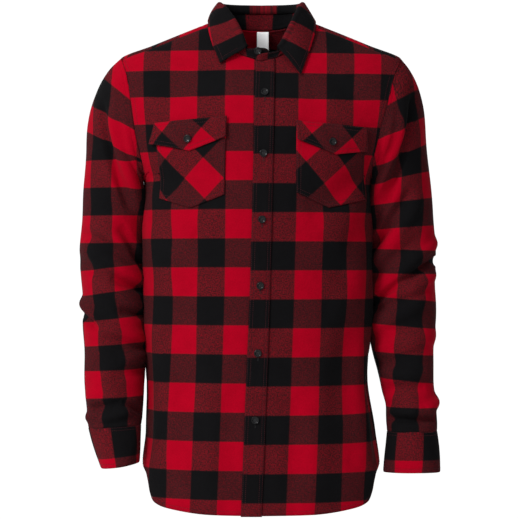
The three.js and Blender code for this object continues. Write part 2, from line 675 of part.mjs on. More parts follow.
// The leaf's section: how far out of the fold and above it each line of the roll lies, then shares of the way down.
const ROLL = [
  { out: -1.4, up: 3.4 },
  { out: 0.9, up: 4.6 },
  { out: 3.8, up: 3.8 },
  { out: 5.8, up: 0.8 },
];
const FALL = [0.2, 0.45, 0.72, 1];
const leafRows = [
  ...[...FALL].reverse().map((share) =>
    LEAF_ANGLES.map((angle) => {
      const start = rollPoint(angle, ROLL.at(-1));
      return start.lerp(leafEdge(angle), share);
    }),
  ),
  ...[...ROLL].reverse().map((line) => LEAF_ANGLES.map((angle) => rollPoint(angle, line))),
];

function rollPoint(angle, line) {
  const point = foldPoint(angle);
  const along = foldPoint(angle + 2).sub(foldPoint(angle - 2)).normalize();
  const rise = point.clone().sub(bodyPoint(...neckPoint(angle > 180 ? angle - 360 : angle)));
  const out = along.clone().cross(rise).normalize();
  return point.addScaledVector(out, line.out).addScaledVector(out.clone().cross(along), line.up);
}
add("collar", wall(leafRows, 2.2, { alone: true }));

// ---- cuffs and the sleeves' slits
function cuffPoint(side, turn, t, lift) {
  const last = SLEEVE[side].at(-1);
  const row = {};
  for (const column of ["outX", "outZ", "inX", "inZ", "midY", "deep"]) {
    row[column] = last[column] + (CUFF[side][column] - last[column]) * t;
  }
  const middle = new THREE.Vector3((row.outX + row.inX) / 2, row.midY, (row.outZ + row.inZ) / 2);
  const point = sectionPoint(row, turn);
  return point.addScaledVector(point.clone().sub(middle).normalize(), lift);
}

for (const side of ["right", "left"]) {
  const turns = spread(CUFF_OPENS, CUFF_OPENS + 360 + CUFF_OVERLAP, 24);
  const upperLift = (turn) => 3.2 * Math.min(1, Math.max(0, (turn - CUFF_OPENS - 330) / 30));
  let rows = spread(1, 0, 3).map((t) => turns.map((turn) => cuffPoint(side, turn, t, upperLift(turn))));
  if (side === "left") rows = rows.map((row) => [...row].reverse());
  add("cuff_" + side, wall(rows, DOUBLE, { alone: true, seams: ["top"], gap: 0.4 }));

  const { from, to, turn, half } = SLEEVE_SLIT;
  let strip = spread(to, from, 6).map((at) => spread(turn - half, turn + half, 3).map((a) => sleevePoint(side, a, at)));
  if (side === "left") strip = strip.map((row) => [...row].reverse());
  add("sleeve_placket_" + side, wall(strip, CLOTH, { alone: true, lift: () => LIFT + CLOTH }));
}

// ---- pockets
// A patch on the front with a pointed lower edge, from its corners.
function patch(topLeft, topRight, right, point, left, lift, thickness) {
  const n = 8;
  const mix = (a, b, t) => a.map((v, k) => v + (b[k] - v) * t);
  const rows = spread(0, 1, n).map((v) =>
    spread(0, 1, n).map((u) => {
      const low = u < 0.5 ? mix(left, point, 2 * u) : mix(point, right, 2 * u - 1);
      return onFront(...mix(low, mix(topLeft, topRight, u), v));
    }),
  );
  return wall(rows, thickness, { alone: true, lift: () => lift + thickness });
}

const FLAP_LIFT = LIFT + CLOTH + LIFT;
for (const side of ["right", "left"]) {
  const p = POCKETS[side];
  add("pocket_" + side, patch(p.topLeft, p.topRight, p.bottomRight, p.bottom, p.bottomLeft, LIFT, CLOTH));
  const flap = [p.flapTopLeft, p.flapTopRight, p.flapRight, p.flapPoint, p.flapLeft];
  add("pocket_flap_" + side, patch(...flap, FLAP_LIFT, DOUBLE));
}

// ---- buttons
function button(name, at, axis) {
  const { radius, height, dish, rim } = BUTTON;
  const profile = [
    [0, 0], [radius - 1, 0], [radius, 0.9], [radius, height - 0.7],
    [radius - 0.6, height], [radius - rim, height - 0.2], [radius - rim - 0.7, height - dish], [0, height - dish],
  ].map(([r, h]) => new THREE.Vector2(r, h));
  const geometry = new THREE.LatheGeometry(profile, 16);
  const turn = new THREE.Quaternion().setFromUnitVectors(new THREE.Vector3(0, 1, 0), axis);
  geometry.applyQuaternion(turn).translate(...at.toArray());
  add(name, geometry, "button");
}

const placketMiddle = (z) => (placketAt("edge")(z) + placketAt("seam")(z)) / 2;
FRONT_BUTTONS.forEach((z, i) => {
  const x = placketMiddle(z);
  button("button_front_" + (i + 1), onFront(x, z, PLACKET_LIFT + DOUBLE + 0.15), frontNormal(x, z));
});
for (const side of ["right", "left"]) {
  const [x, z] = POCKETS[side].button;
  button("button_pocket_" + side, onFront(x, z, FLAP_LIFT + DOUBLE + 0.3), frontNormal(x, z));
  const turn = CUFF_OPENS + CUFF_OVERLAP - 14;
  const axis = cuffPoint(side, turn, 0.5, 1).sub(cuffPoint(side, turn, 0.5, 0)).normalize();
  button("button_cuff_" + side, cuffPoint(side, turn, 0.5, 4.1), axis);
}
{
  const at = (t) => bodyPoint(...neckPoint(BAND_BUTTON_ANGLE - 360)).lerp(foldPoint(BAND_BUTTON_ANGLE), t);
  const along = foldPoint(BAND_BUTTON_ANGLE + 2).sub(foldPoint(BAND_BUTTON_ANGLE - 2));
  const axis = along.cross(at(1).sub(at(0))).normalize();
  button("button_collar", at(0.7).addScaledVector(axis, 1), axis);
}

// ---- label, hanging inside the back of the neck from the band's seam
{
  const { width, length, wall: thick, x, top } = LABEL;
  const rows = spread(0, 1, 4).map((t) =>
    spread(-0.5, 0.5, 2).map((u) => {
      const z = top - length * (1 - t);
      return new THREE.Vector3(x - u * width, 56.9 - 2.5 * t * t + 1.5 * (1 - t), z);
    }),
  );
  add("neck_label", wall(rows.map((row) => [...row].reverse()), thick, { alone: true }), "label");
}

export default shirt;
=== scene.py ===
"""A red and black buffalo-check flannel shirt, filled out as if worn, with nobody in it.

Lengths in the tables are millimetres, in the frame of the CAD part: +X is to the right seen from the
front, the front faces -Y, +Z is up, and the origin is the middle of the neck. The wearer's right is at -X.
"""

import math
from functools import partial

import bpy
import numpy as np
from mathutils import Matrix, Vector


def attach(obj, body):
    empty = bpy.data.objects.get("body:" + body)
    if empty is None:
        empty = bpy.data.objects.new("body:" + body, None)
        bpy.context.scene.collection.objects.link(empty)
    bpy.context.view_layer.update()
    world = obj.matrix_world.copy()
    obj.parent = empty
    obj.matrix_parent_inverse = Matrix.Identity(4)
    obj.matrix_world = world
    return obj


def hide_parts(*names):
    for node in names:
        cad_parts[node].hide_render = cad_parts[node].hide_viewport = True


MM = 0.001
RAD = math.pi / 180
SQUARE = 44.5  # one square of the check

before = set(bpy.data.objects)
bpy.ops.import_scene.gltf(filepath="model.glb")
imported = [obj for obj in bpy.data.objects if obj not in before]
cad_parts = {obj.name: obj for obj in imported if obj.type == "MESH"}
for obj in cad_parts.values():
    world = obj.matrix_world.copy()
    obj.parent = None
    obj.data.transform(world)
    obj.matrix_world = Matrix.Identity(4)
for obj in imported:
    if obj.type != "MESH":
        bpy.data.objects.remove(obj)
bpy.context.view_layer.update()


# ---------------------------------------------------------------- tables
def table(names, rows):
    """Named columns from rows of numbers."""
    return dict(zip(names.split(), np.array(rows, float).T))


def curve(data, key, column):
    """Monotone cubic through a table's column, which holds its end values beyond the ends."""
    x, y = data[key], data[column]
    step = np.diff(x)
    slope = np.diff(y) / step
    tangent = np.zeros_like(y)
    tangent[0], tangent[-1] = slope[0], slope[-1]
    for k in range(1, len(x) - 1):
        before, after = slope[k - 1], slope[k]
        if before * after > 0:
            low, high = 2 * step[k] + step[k - 1], step[k] + 2 * step[k - 1]
            tangent[k] = (low + high) / (low / before + high / after)

    def value(at):
        at = np.clip(np.asarray(at, float), x[0], x[-1])
        i = np.clip(np.searchsorted(x, at, side="right") - 1, 0, len(x) - 2)
        h = step[i]
        t = (at - x[i]) / h
        return (
            y[i] * (1 + 2 * t) * (1 - t) ** 2
            + h * tangent[i] * t * (1 - t) ** 2
            + y[i + 1] * t * t * (3 - 2 * t)
            + h * tangent[i + 1] * t * t * (t - 1)
        )

    return value


BODY = table(
    "z right left front back",
    [
        (-800, 188, 186, 118, 126), (-765, 187, 186, 117, 126), (-700, 187, 187, 115, 124),
        (-640, 179, 179, 112, 118), (-560, 178, 167, 109, 110), (-450, 181, 172, 110, 101),
        (-350, 182.5, 171, 116, 106), (-254, 182, 171, 122, 114), (-220, 199, 187, 121, 117),
        (-180, 222, 213, 117, 118), (-124, 238, 236, 101, 114), (-86, 238, 238, 77, 108),
        (-62, 228, 228, 60, 100), (-53, 220, 220, 54, 95), (-34, 173, 173, 42, 83),
        (-15, 126.5, 126.5, 31, 68), (-4, 99, 99, 22, 59), (2, 84, 84, 17, 51),
        (9, 66, 66, 12, 38), (12, 60, 60, 10, 32),
    ],
)
ROUND = 2.2
NECK = table(
    "angle z",
    [(0, -62), (33, -50), (63, -18), (80, -1), (92, 6), (104, 7.5), (128, 3), (153, -3), (180, -5)],
)
ARMHOLE = table(
    "z right left",
    [
        (-246, 182, 171), (-225, 185, 173), (-175, 196, 184), (-128, 203, 197), (-82, 210, 208),
        (-64, 216, 216), (-53, 220, 220),
    ],
)
ARM_TOP, ARM_BOTTOM = -53, -246
YOKE_BACK, YOKE_DROP, YOKE_NECK = -95, 6, 80
HEM = table(
    "angle z",
    [
        (0, -765), (35, -764), (60, -757), (71, -748), (75, -732), (77, -716), (80, -704),
        (90, -695), (101, -703), (106, -730), (112, -750), (140, -766), (180, -772),
    ],
)
PLACKET = table(
    "z edge seam",
    [(-766, -31, 1.5), (-620, -25.5, 7.5), (-400, -16.6, 15), (-200, -11.5, 19.5), (-62, -8, 22)],
)
SLEEVE_COLUMNS = "at outX outZ inX inZ midY deep hold"
SLEEVE = {
    "right": table(
        SLEEVE_COLUMNS,
        [
            (0, -220, -53, -182, -246, 0, 66, 1), (1, -241, -73, -190.5, -250.5, 3, 68, 0.72),
            (2, -259, -100, -187.5, -264, 14, 68, 0.42), (3, -271.8, -138, -185, -284, 22, 68, 0.18),
            (4, -278, -180, -183.5, -308, 28, 68, 0), (5, -281, -240, -182.5, -342, 30, 67, 0),
            (6, -284.5, -300, -182.5, -382, 30, 66, 0), (7, -287.5, -356, -182.5, -420, 29, 64, 0),
            (8, -286, -400, -182.5, -452, 26, 62, 0), (9, -283, -440, -182.5, -482, 22, 60, 0),
            (10, -282.5, -480, -182.5, -512, 17, 57, 0), (11, -280.5, -520, -182.5, -542, 10, 54, 0),
            (12, -278.5, -560, -184, -573, 2, 49, 0), (13, -275.5, -600, -187, -603, -8, 44, 0),
            (14, -271.5, -636, -188.5, -631, -16, 38, 0),
        ],
    ),
    "left": table(
        SLEEVE_COLUMNS,
        [
            (0, 220, -53, 171, -246, 0, 66, 1), (1, 236.5, -73, 180, -250.5, 3, 68, 0.72),
            (2, 250, -100, 177, -264, 14, 68, 0.42), (3, 259, -138, 175, -284, 22, 68, 0.18),
            (4, 263.5, -180, 173, -308, 28, 68, 0), (5, 268.6, -240, 172, -342, 30, 67, 0),
            (6, 274.5, -300, 172, -382, 30, 66, 0), (7, 277, -356, 172, -420, 29, 64, 0),
            (8, 276.5, -400, 172, -452, 26, 62, 0), (9, 278, -440, 172.5, -482, 22, 60, 0),
            (10, 276.5, -480, 176, -512, 17, 57, 0), (11, 274, -520, 183, -544, 10, 54, 0),
            (12, 272, -560, 190, -576, 2, 49, 0), (13, 276.5, -604, 198, -606, -8, 44, 0),
            (14, 277, -641, 198, -641, -16, 40, 0),
        ],
    ),
}
CUFF = {
    "right": dict(outX=-251.5, outZ=-698, inX=-191, inZ=-689, midY=-28, deep=48),
    "left": dict(outX=282, outZ=-704, inX=192, inZ=-704, midY=-26, deep=34),
}
FOLD = table(
    "angle right left y z",
    [
        (0, 0, 0, -61.5, -40), (20, 22.5, 26, -57.5, -41), (35, 32.5, 42, -50, -17),
        (50, 43.5, 52, -39, 4), (70, 58, 61, -21, 24), (90, 64.5, 64.5, 2, 31),
        (120, 57, 57, 33, 31.5), (150, 34, 34, 51, 31.5), (180, 0, 0, 57, 31.5),
    ],
)
LEAF = {
    "right": table(
        "angle x z",
        [
            (20, 64, -68), (35, 69, -54), (50, 76, -38), (70, 83, -10),
            (95, 0, 3), (120, 0, -1), (150, 0, -10), (180, 0, -13),
        ],
    ),
    "left": table(
        "angle x z",
        [
            (20, 62, -87), (35, 71, -62), (50, 80, -36), (70, 86, -11),
            (95, 0, 2), (120, 0, -1), (150, 0, -10), (180, 0, -13),
        ],
    ),
}
POCKETS = {
    "right": dict(
        top=[(-163, -164), (-53, -160)],
        low=[(-153, -276), (-108, -291), (-56, -271)],
        flap_top=[(-164.5, -160), (-52, -152)],
        flap_low=[(-170, -191), (-108, -204), (-53, -183)],
        button=(-110.5, -186),
    ),
    "left": dict(
        top=[(54, -164), (160, -168)],
        low=[(53.5, -268), (105, -291), (157, -278)],
        flap_top=[(53, -158.5), (163, -167)],
        flap_low=[(55, -187), (113, -209), (161, -202)],
        button=(107.5, -190),
    ),
}
FRONT_BUTTONS = [-116, -208.5, -309, -411, -515, -618]

body = {c: curve(BODY, "z", c) for c in ("right", "left", "front", "back")}
neck_z = curve(NECK, "angle", "z")
hem_z = curve(HEM, "angle", "z")
arm_x = {s: curve(ARMHOLE, "z", s) for s in ("right", "left")}
placket_x = {c: curve(PLACKET, "z", c) for c in ("edge", "seam")}


# ---------------------------------------------------------------- the body's surface
def sign_of(side):
    return 1 if side == "left" else -1


def body_point(angle, z):
    """Points of the body, by the angle from the front's middle towards +X, and the height."""
    angle, z = np.broadcast_arrays(np.asarray(angle, float), np.asarray(z, float))
    s, c = np.sin(angle * RAD), np.cos(angle * RAD)
    wide = np.where(s > 0, body["left"](z), body["right"](z))
    deep = np.where(c > 0, body["front"](z), body["back"](z))
    r = (np.abs(s / wide) ** ROUND + np.abs(c / deep) ** ROUND) ** (-1 / ROUND)
    return np.stack([r * s, -r * c, z], -1)


def angle_at(x, z, front=True):
    x, z = np.broadcast_arrays(np.asarray(x, float), np.asarray(z, float))
    wide = np.where(x > 0, body["left"](z), body["right"](z))
    deep = np.where(front, body["front"](z), body["back"](z))
    y = deep * (1 - np.minimum(1, np.abs(x) / wide) ** ROUND) ** (1 / ROUND)
    angle = np.arctan2(np.abs(x), np.where(front, y, -y)) / RAD
    return np.where(x > 0, angle, -angle)


ROUND_HEIGHTS = np.linspace(-800, 12, 204)
ROUND_ANGLES = np.linspace(-180, 180, 721)
_ring = body_point(ROUND_ANGLES[None, :], ROUND_HEIGHTS[:, None])
_steps = np.linalg.norm(np.diff(_ring, axis=1), axis=-1)
_around = np.concatenate([np.zeros((len(ROUND_HEIGHTS), 1)), np.cumsum(_steps, 1)], 1)
_around -= _around[:, [360]]


def around(angle, z):
    """Distance round the body from the middle of the front; beyond 180 it goes on round the back."""
    angle = np.asarray(angle, float)
    if np.any(angle > 180):
        whole = around(180, z) - around(-180, z)
        past = around(np.where(angle > 180, angle - 360, 0), z) + whole
        return np.where(angle > 180, past, around(np.minimum(angle, 180), z))
    a = np.clip((angle + 180) * 2, 0, 719.999)
    k = np.clip((np.asarray(z, float) + 800) / 4, 0, 202.999)
    i, j = a.astype(int), k.astype(int)
    a, k = a - i, k - j
    low = _around[j, i] * (1 - a) + _around[j, i + 1] * a
    high = _around[j + 1, i] * (1 - a) + _around[j + 1, i + 1] * a
    return low * (1 - k) + high * k


def body_normal(angle, z):
    n = np.cross(
        body_point(angle + 0.5, z) - body_point(angle - 0.5, z),
        body_point(angle, z + 1) - body_point(angle, z - 1),
    )
    return n / np.linalg.norm(n, axis=-1, keepdims=True)


# ---------------------------------------------------------------- how the check lies on the cloth
# Check coordinates count squares: column and row. An even one is red yarn, an odd one black.
ROWS = table(  # heights at which a row of squares begins
    "z row",
    [
        (-1013.6, 22), (-253.8, 5), (-209.3, 4), (-166.4, 3), (-123.5, 2),
        (-81.5, 1), (-48.9, 0), (-12, -1), (24, -2),
    ],
)
# from the placket's seam to a red column of the wearer's right front
RIGHT_COLUMN = table("z x", [(-600, -70), (-400, -71), (-120, -76.5)])
row_at = curve(ROWS, "z", "row")
right_column = curve(RIGHT_COLUMN, "z", "x")


def from_seam(angle, z):
    """Distance round the body from the placket's sewn edge."""
    seam = placket_x["seam"](np.clip(z, -766, -62))
    return around(angle, z) - around(angle_at(seam, z), z)


def left_check(angle, z):
    return np.stack([(from_seam(angle, z) - 36.8) / 43.9, row_at(z)], -1)


def right_check(angle, z):
    return np.stack([(from_seam(angle, z) - right_column(z)) / 43.7, row_at(z - 4.6)], -1)


def back_check(angle, z):
    return np.stack([(around(angle, z) - around(180, z)) / 44.5 + 0.5, row_at(z)], -1)


# ---------------------------------------------------------------- folds
# Soft ridges (+) and troughs (-), each from one place to the other; width is the half width. The heights
# are multiplied by these.
BODY_DEPTH, SLEEVE_DEPTH = 1.8, 1.6
BODY_FOLDS = table(
    "angle z angle2 z2 width height",
    [
        (-76, -258, -44, -330, 40, 3.0), (-68, -246, -30, -286, 30, -2.2),
        (-82, -300, -52, -420, 44, 2.6), (-60, -400, -48, -600, 40, -2.4),
        (-72, -470, -64, -690, 34, 2.8), (-38, -540, -33, -760, 40, 2.2),
        (-26, -590, -24, -760, 30, -1.8), (-84, -500, -79, -690, 26, -2.6),
        (77, -258, 46, -336, 42, 3.2), (67, -252, 32, -296, 30, -2.4),
        (80, -330, 58, -470, 42, 2.8), (64, -430, 55, -620, 36, -2.6),
        (76, -500, 68, -700, 32, 2.8), (41, -560, 36, -758, 40, 2.4),
        (28, -610, 24, -760, 30, -1.8), (86, -560, 81, -690, 26, -2.4),
        (-56, -80, -66, -180, 34, -1.6), (58, -80, 67, -176, 34, -1.8),
        (-30, -86, -16, -190, 48, 1.4), (24, -96, 14, -200, 44, 1.4),
        (112, -250, 150, -330, 44, 3.4), (108, -268, 138, -380, 34, -2.8),
        (248, -250, 212, -320, 44, 3.2), (254, -270, 224, -372, 34, -2.6),
        (170, -330, 176, -470, 48, 2.2), (200, -380, 210, -560, 44, -2.6),
        (150, -420, 142, -640, 48, 3.0), (128, -520, 122, -740, 40, -2.8),
        (234, -540, 240, -740, 44, 3.0), (215, -600, 214, -768, 36, -2.4),
        (166, -600, 168, -770, 44, 2.4), (190, -640, 188, -772, 36, 2.0),
        (100, -480, 96, -700, 30, 2.4), (261, -440, 264, -690, 30, 2.6),
        (-90, -226, -90, -560, 34, 3.0), (90, -226, 90, -520, 34, 3.0),
        (140, -110, 128, -200, 46, 2.2), (220, -110, 234, -204, 46, 2.2),
    ],
)
# On the sleeves a place is a station and a turn: 0 the outer edge, 90 the front, 180 the inner edge,
# -90 the back.
SLEEVE_FOLDS = {
    "right": table(
        "at turn at2 turn2 width height",
        [
            (1.6, 62, 4.2, 150, 17, 5.5), (2.2, 44, 4.4, 118, 13, -6.5),
            (1.2, 96, 3.2, 158, 16, 3.0), (5.4, 100, 6.4, 172, 13, -6.0),
            (6.0, 60, 5.7, 150, 17, 3.4), (6.5, 20, 6.1, 130, 14, -3.6),
            (6.9, 30, 6.6, 160, 16, 4.2), (7.3, 86, 7.0, 175, 11, -7.0),
            (7.3, 4, 7.5, 80, 14, -3.0), (7.9, 60, 8.0, 170, 18, 3.4),
            (8.6, 100, 8.1, 176, 11, -6.0), (8.9, -4, 9.35, 66, 12, 4.6),
            (9.35, -6, 9.8, 62, 11, -6.5), (9.6, 60, 9.5, 160, 18, 3.0),
            (10.1, 70, 10.0, 165, 14, -3.4), (10.8, 100, 10.3, 176, 16, 3.2),
            (11.6, 88, 11.0, 178, 15, -3.0), (12.6, 20, 12.9, 90, 16, 3.0),
            (13.1, 40, 12.75, 110, 10, -5.5), (12.75, 110, 13.3, 172, 10, -5.0),
            (13.6, 60, 13.2, 130, 12, 4.5), (13.55, 0, 13.4, 60, 12, 3.0),
            (3.0, -60, 4.8, -140, 20, 4.0), (6.2, -40, 6.0, -150, 20, -4.5),
            (6.9, -30, 6.7, -160, 20, 4.5), (7.6, -50, 7.4, -160, 18, -3.5),
            (9.4, -60, 9.1, -165, 19, 4.0), (10.4, -40, 10.6, -140, 18, -3.5),
            (12.7, -50, 12.9, -150, 15, 4.0), (13.2, -60, 13.2, -160, 12, -4.5),
        ],
    ),
    "left": table(
        "at turn at2 turn2 width height",
        [
            (1.4, 58, 4.2, 152, 17, 5.5), (2.0, 40, 4.2, 120, 13, -7.0),
            (1.0, 92, 3.0, 156, 16, 3.0), (4.8, 70, 5.6, 170, 13, -6.0),
            (5.3, 50, 6.2, 165, 16, 3.4), (6.3, 60, 6.6, 170, 15, -4.0),
            (6.75, 6, 6.95, 100, 14, 4.0), (7.35, -10, 7.4, 90, 9, -8.5),
            (7.4, 90, 7.7, 170, 10, -7.5), (7.85, 10, 8.1, 120, 15, 4.4),
            (8.2, 80, 7.9, 172, 12, -4.6), (8.6, 30, 8.9, 150, 17, 3.0),
            (9.4, 40, 9.6, 160, 17, -2.6), (10.3, 0, 10.2, 110, 18, 2.8),
            (10.9, 70, 10.7, 172, 16, -3.0), (11.7, 30, 11.3, 140, 16, 3.2),
            (12.2, 50, 12.0, 165, 14, -3.4), (12.7, -6, 13.0, 60, 15, 4.5),
            (13.45, 20, 13.4, 160, 9, -7.5), (13.1, 80, 13.1, 150, 14, 3.4),
            (3.0, -60, 4.8, -140, 20, 4.0), (6.4, -40, 6.2, -150, 20, 4.5),
            (7.3, -30, 7.2, -160, 17, -5.5), (7.8, -50, 7.9, -160, 19, 4.5),
            (9.6, -60, 9.4, -165, 18, -3.5), (11.2, -40, 11.0, -140, 20, 3.5),
            (12.8, -50, 12.7, -150, 15, 4.0), (13.4, -30, 13.4, -160, 12, -5.0),
        ],
    ),
}


def fold_height(points, folds, place):
    """Sum of the folds at some points. place gives the point of a fold's two coordinates."""
    first, second = [key for key in folds if key not in ("width", "height") and not key.endswith("2")]
    total = np.zeros(points.shape[:-1])
    share = np.linspace(0, 1, 9)
    for k in range(len(folds["width"])):
        one = folds[first][k] + (folds[first + "2"][k] - folds[first][k]) * share
        two = folds[second][k] + (folds[second + "2"][k] - folds[second][k]) * share
        line = place(one, two)
        best = np.full(points.shape[:-1], 1e9)
        where = np.zeros(points.shape[:-1])
        for i in range(len(share) - 1):
            way = line[i + 1] - line[i]
            t = np.clip(((points - line[i]) @ way) / (way @ way), 0, 1)
            d = np.linalg.norm(points - line[i] - t[..., None] * way, axis=-1)
            nearer = d < best
            best = np.where(nearer, d, best)
            where = np.where(nearer, (i + t) / (len(share) - 1), where)
        fade = np.sqrt(np.clip(4 * where * (1 - where), 0, 1)) * 0.8 + 0.2
        total += folds["height"][k] * fade * np.clip(1 - (best / folds["width"][k]) ** 2, 0, 1) ** 2
    return total


def body_folds(points):
    total = BODY_DEPTH * fold_height(points, BODY_FOLDS, body_point)
    x, y, z = np.moveaxis(points, -1, 0)
    total += 0.6 * np.sin(x / 31 + 1.7 * np.sin(z / 120 + y / 90)) * np.sin(z / 67 + x / 140)
    total += 0.4 * np.sin(z / 23 + x / 58 + 1.2 * np.sin(x / 47))
    return total * (1 - 0.75 * np.clip((z + 95) / 60, 0, 1))


def skin(angle, z, lift=0.0):
    """Points on the body with its folds, moved out by lift."""
    base = body_point(angle, z)
    out = body_folds(base) + lift
    return base + body_normal(angle, z) * out[..., None]


def on_front(x, z, lift=0.0):
    return skin(angle_at(x, z), z, lift)


# ---------------------------------------------------------------- boundary curves, as (angle, z)
ACROSS, BELOW, FRONT_ARM, BACK_ARM, YOKE_ARM, NECK_FRONT, NECK_BACK = 76, 108, 54, 42, 36, 30, 50


def pairs(angle, z):
    return np.stack(np.broadcast_arrays(np.asarray(angle, float), np.asarray(z, float)), -1)


def wrap(angle):
    return (np.asarray(angle, float) + 180) % 360 - 180


def neck_points(angle):
    return pairs(angle, neck_z(np.abs(wrap(angle))))


def armhole_points(side, turn):
    turn = np.asarray(turn, float)
    z = (ARM_TOP + ARM_BOTTOM) / 2 + (ARM_TOP - ARM_BOTTOM) / 2 * np.cos(turn * RAD)
    return pairs(angle_at(sign_of(side) * arm_x[side](z), z, (turn + 360) % 360 <= 180), z)


def turn_at(z, front):
    turn = math.acos((z - (ARM_TOP + ARM_BOTTOM) / 2) / ((ARM_TOP - ARM_BOTTOM) / 2)) / RAD
    return turn if front else 360 - turn


FRONT_TURN = turn_at(ARM_TOP - YOKE_DROP, True)
BACK_TURN = turn_at(YOKE_BACK, False)


def joined(*curves):
    """Curves end to end, without the points that they share."""
    return np.concatenate([curves[0]] + [c[1:] for c in curves[1:]])


def yoke_front(side):
    start = neck_points(sign_of(side) * YOKE_NECK)
    end = armhole_points(side, FRONT_TURN)
    z = start[1] + (end[1] - start[1]) * np.linspace(0, 1, ACROSS + 1)
    points = pairs(angle_at(sign_of(side) * body[side](z + YOKE_DROP), z), z)
    points[0], points[-1] = start, end
    return points


def side_seam(side):
    return pairs(sign_of(side) * 90.0, np.linspace(hem_z(90), ARM_BOTTOM, BELOW + 1))


def coons(bottom, top, start, end):
    """A patch between four curves that share their corners: rows from bottom to top."""
    u = np.linspace(0, 1, len(bottom))[None, :, None]
    v = np.linspace(0, 1, len(start))[:, None, None]
    edges = (1 - v) * bottom[None] + v * top[None] + (1 - u) * start[:, None] + u * end[:, None]
    low = (1 - u) * (1 - v) * bottom[0] + u * (1 - v) * bottom[-1]
    corners = low + (1 - u) * v * top[0] + u * v * top[-1]
    return edges - corners


def front_patch(side, middle):
    sign = sign_of(side)
    neck_angle = float(angle_at(middle(-62), -62))
    t = np.linspace(0, 1, BELOW + FRONT_ARM - NECK_FRONT + 1)
    z = -765 + (neck_points(neck_angle)[1] + 765) * (1 - (1 - t) ** 1.15)
    edge = pairs(angle_at(middle(z), z), z)
    neck = neck_points(np.linspace(neck_angle, sign * YOKE_NECK, NECK_FRONT + 1))
    arm = armhole_points(side, np.linspace(180, FRONT_TURN, FRONT_ARM + 1))
    hem_angles = np.linspace(edge[0, 0], sign * 90, ACROSS + 1)
    hem = pairs(hem_angles, hem_z(np.abs(hem_angles)))
    hem[0] = edge[0]
    patch = coons(hem, yoke_front(side), joined(edge, neck), joined(side_seam(side), arm))
    return patch if sign > 0 else patch[:, ::-1]


def positive(points):
    return pairs(np.where(points[:, 0] < 0, points[:, 0] + 360, points[:, 0]), points[:, 1])


def yoke_back():
    a, b = armhole_points("left", BACK_TURN)[0], armhole_points("right", BACK_TURN)[0] + 360
    return pairs(np.linspace(a, b, 2 * ACROSS + NECK_BACK + 1), YOKE_BACK)


def back_patch():
    angles = np.linspace(90, 270, 2 * ACROSS + NECK_BACK + 1)
    hem = pairs(angles, hem_z(np.minimum(angles, 360 - angles)))
    turns = np.linspace(180, BACK_TURN, BACK_ARM + 1)
    sides = [positive(joined(side_seam(s), armhole_points(s, turns))) for s in ("left", "right")]
    return coons(hem, yoke_back(), *sides)


def yoke_patch():
    neck = neck_points(np.linspace(YOKE_NECK, 360 - YOKE_NECK, NECK_BACK + 1))
    top = joined(yoke_front("left")[::-1], neck, positive(yoke_front("right")))
    turns = np.linspace(BACK_TURN - 360, FRONT_TURN, YOKE_ARM + 1)
    return coons(yoke_back(), top, *[positive(armhole_points(s, turns)) for s in ("left", "right")])


# ---------------------------------------------------------------- materials
class Nodes:
    """Makes the shader nodes of a material or a world, and links them."""

    def __init__(self, owner):
        owner.use_nodes = True
        self.tree = owner.node_tree
        self.tree.nodes.clear()

    def put(self, socket, value):
        if isinstance(value, bpy.types.NodeSocket):
            self.tree.links.new(value, socket)
        elif value is not None:
            socket.default_value = value

    def add(self, kind, inputs=None, out=0, **settings):
        node = self.tree.nodes.new(kind)
        for key, value in settings.items():
            setattr(node, key, value)
        for key, value in (inputs or {}).items():
            self.put(node.inputs[key], value)
        return node.outputs[out]

    def math(self, operation, a, b=None, c=None, clamp=False):
        return self.add("ShaderNodeMath", {0: a, 1: b, 2: c}, operation=operation, use_clamp=clamp)

    def noise(self, vector, scale, detail=2.0, roughness=0.5):
        inputs = {"Vector": vector, "Scale": scale, "Detail": detail, "Roughness": roughness}
        return self.add("ShaderNodeTexNoise", inputs)

    def mix(self, factor, a, b):
        node = self.tree.nodes.new("ShaderNodeMix")
        node.data_type = "RGBA"
        self.put(node.inputs[0], factor)
        self.put(node.inputs[6], a)
        self.put(node.inputs[7], b)
        return node.outputs[2]

    def stretched(self, vector, x, y):
        return self.add("ShaderNodeVectorMath", {0: vector, 1: (x, y, 1.0)}, operation="MULTIPLY")

    def split(self, vector):
        node = self.tree.nodes.new("ShaderNodeSeparateXYZ")
        self.put(node.inputs[0], vector)
        return node.outputs

    def toned(self, colour, value):
        return self.add("ShaderNodeHueSaturation", {"Color": colour, "Value": value})

    def surface(self, **inputs):
        named = {key.replace("_", " "): value for key, value in inputs.items()}
        self.end("ShaderNodeOutputMaterial", self.add("ShaderNodeBsdfPrincipled", named))

    def end(self, kind, shader):
        self.put(self.tree.nodes.new(kind).inputs[0], shader)


RED, BLACK = (0.235, 0.0002, 0.0075, 1), (0.0036, 0.0034, 0.0038, 1)


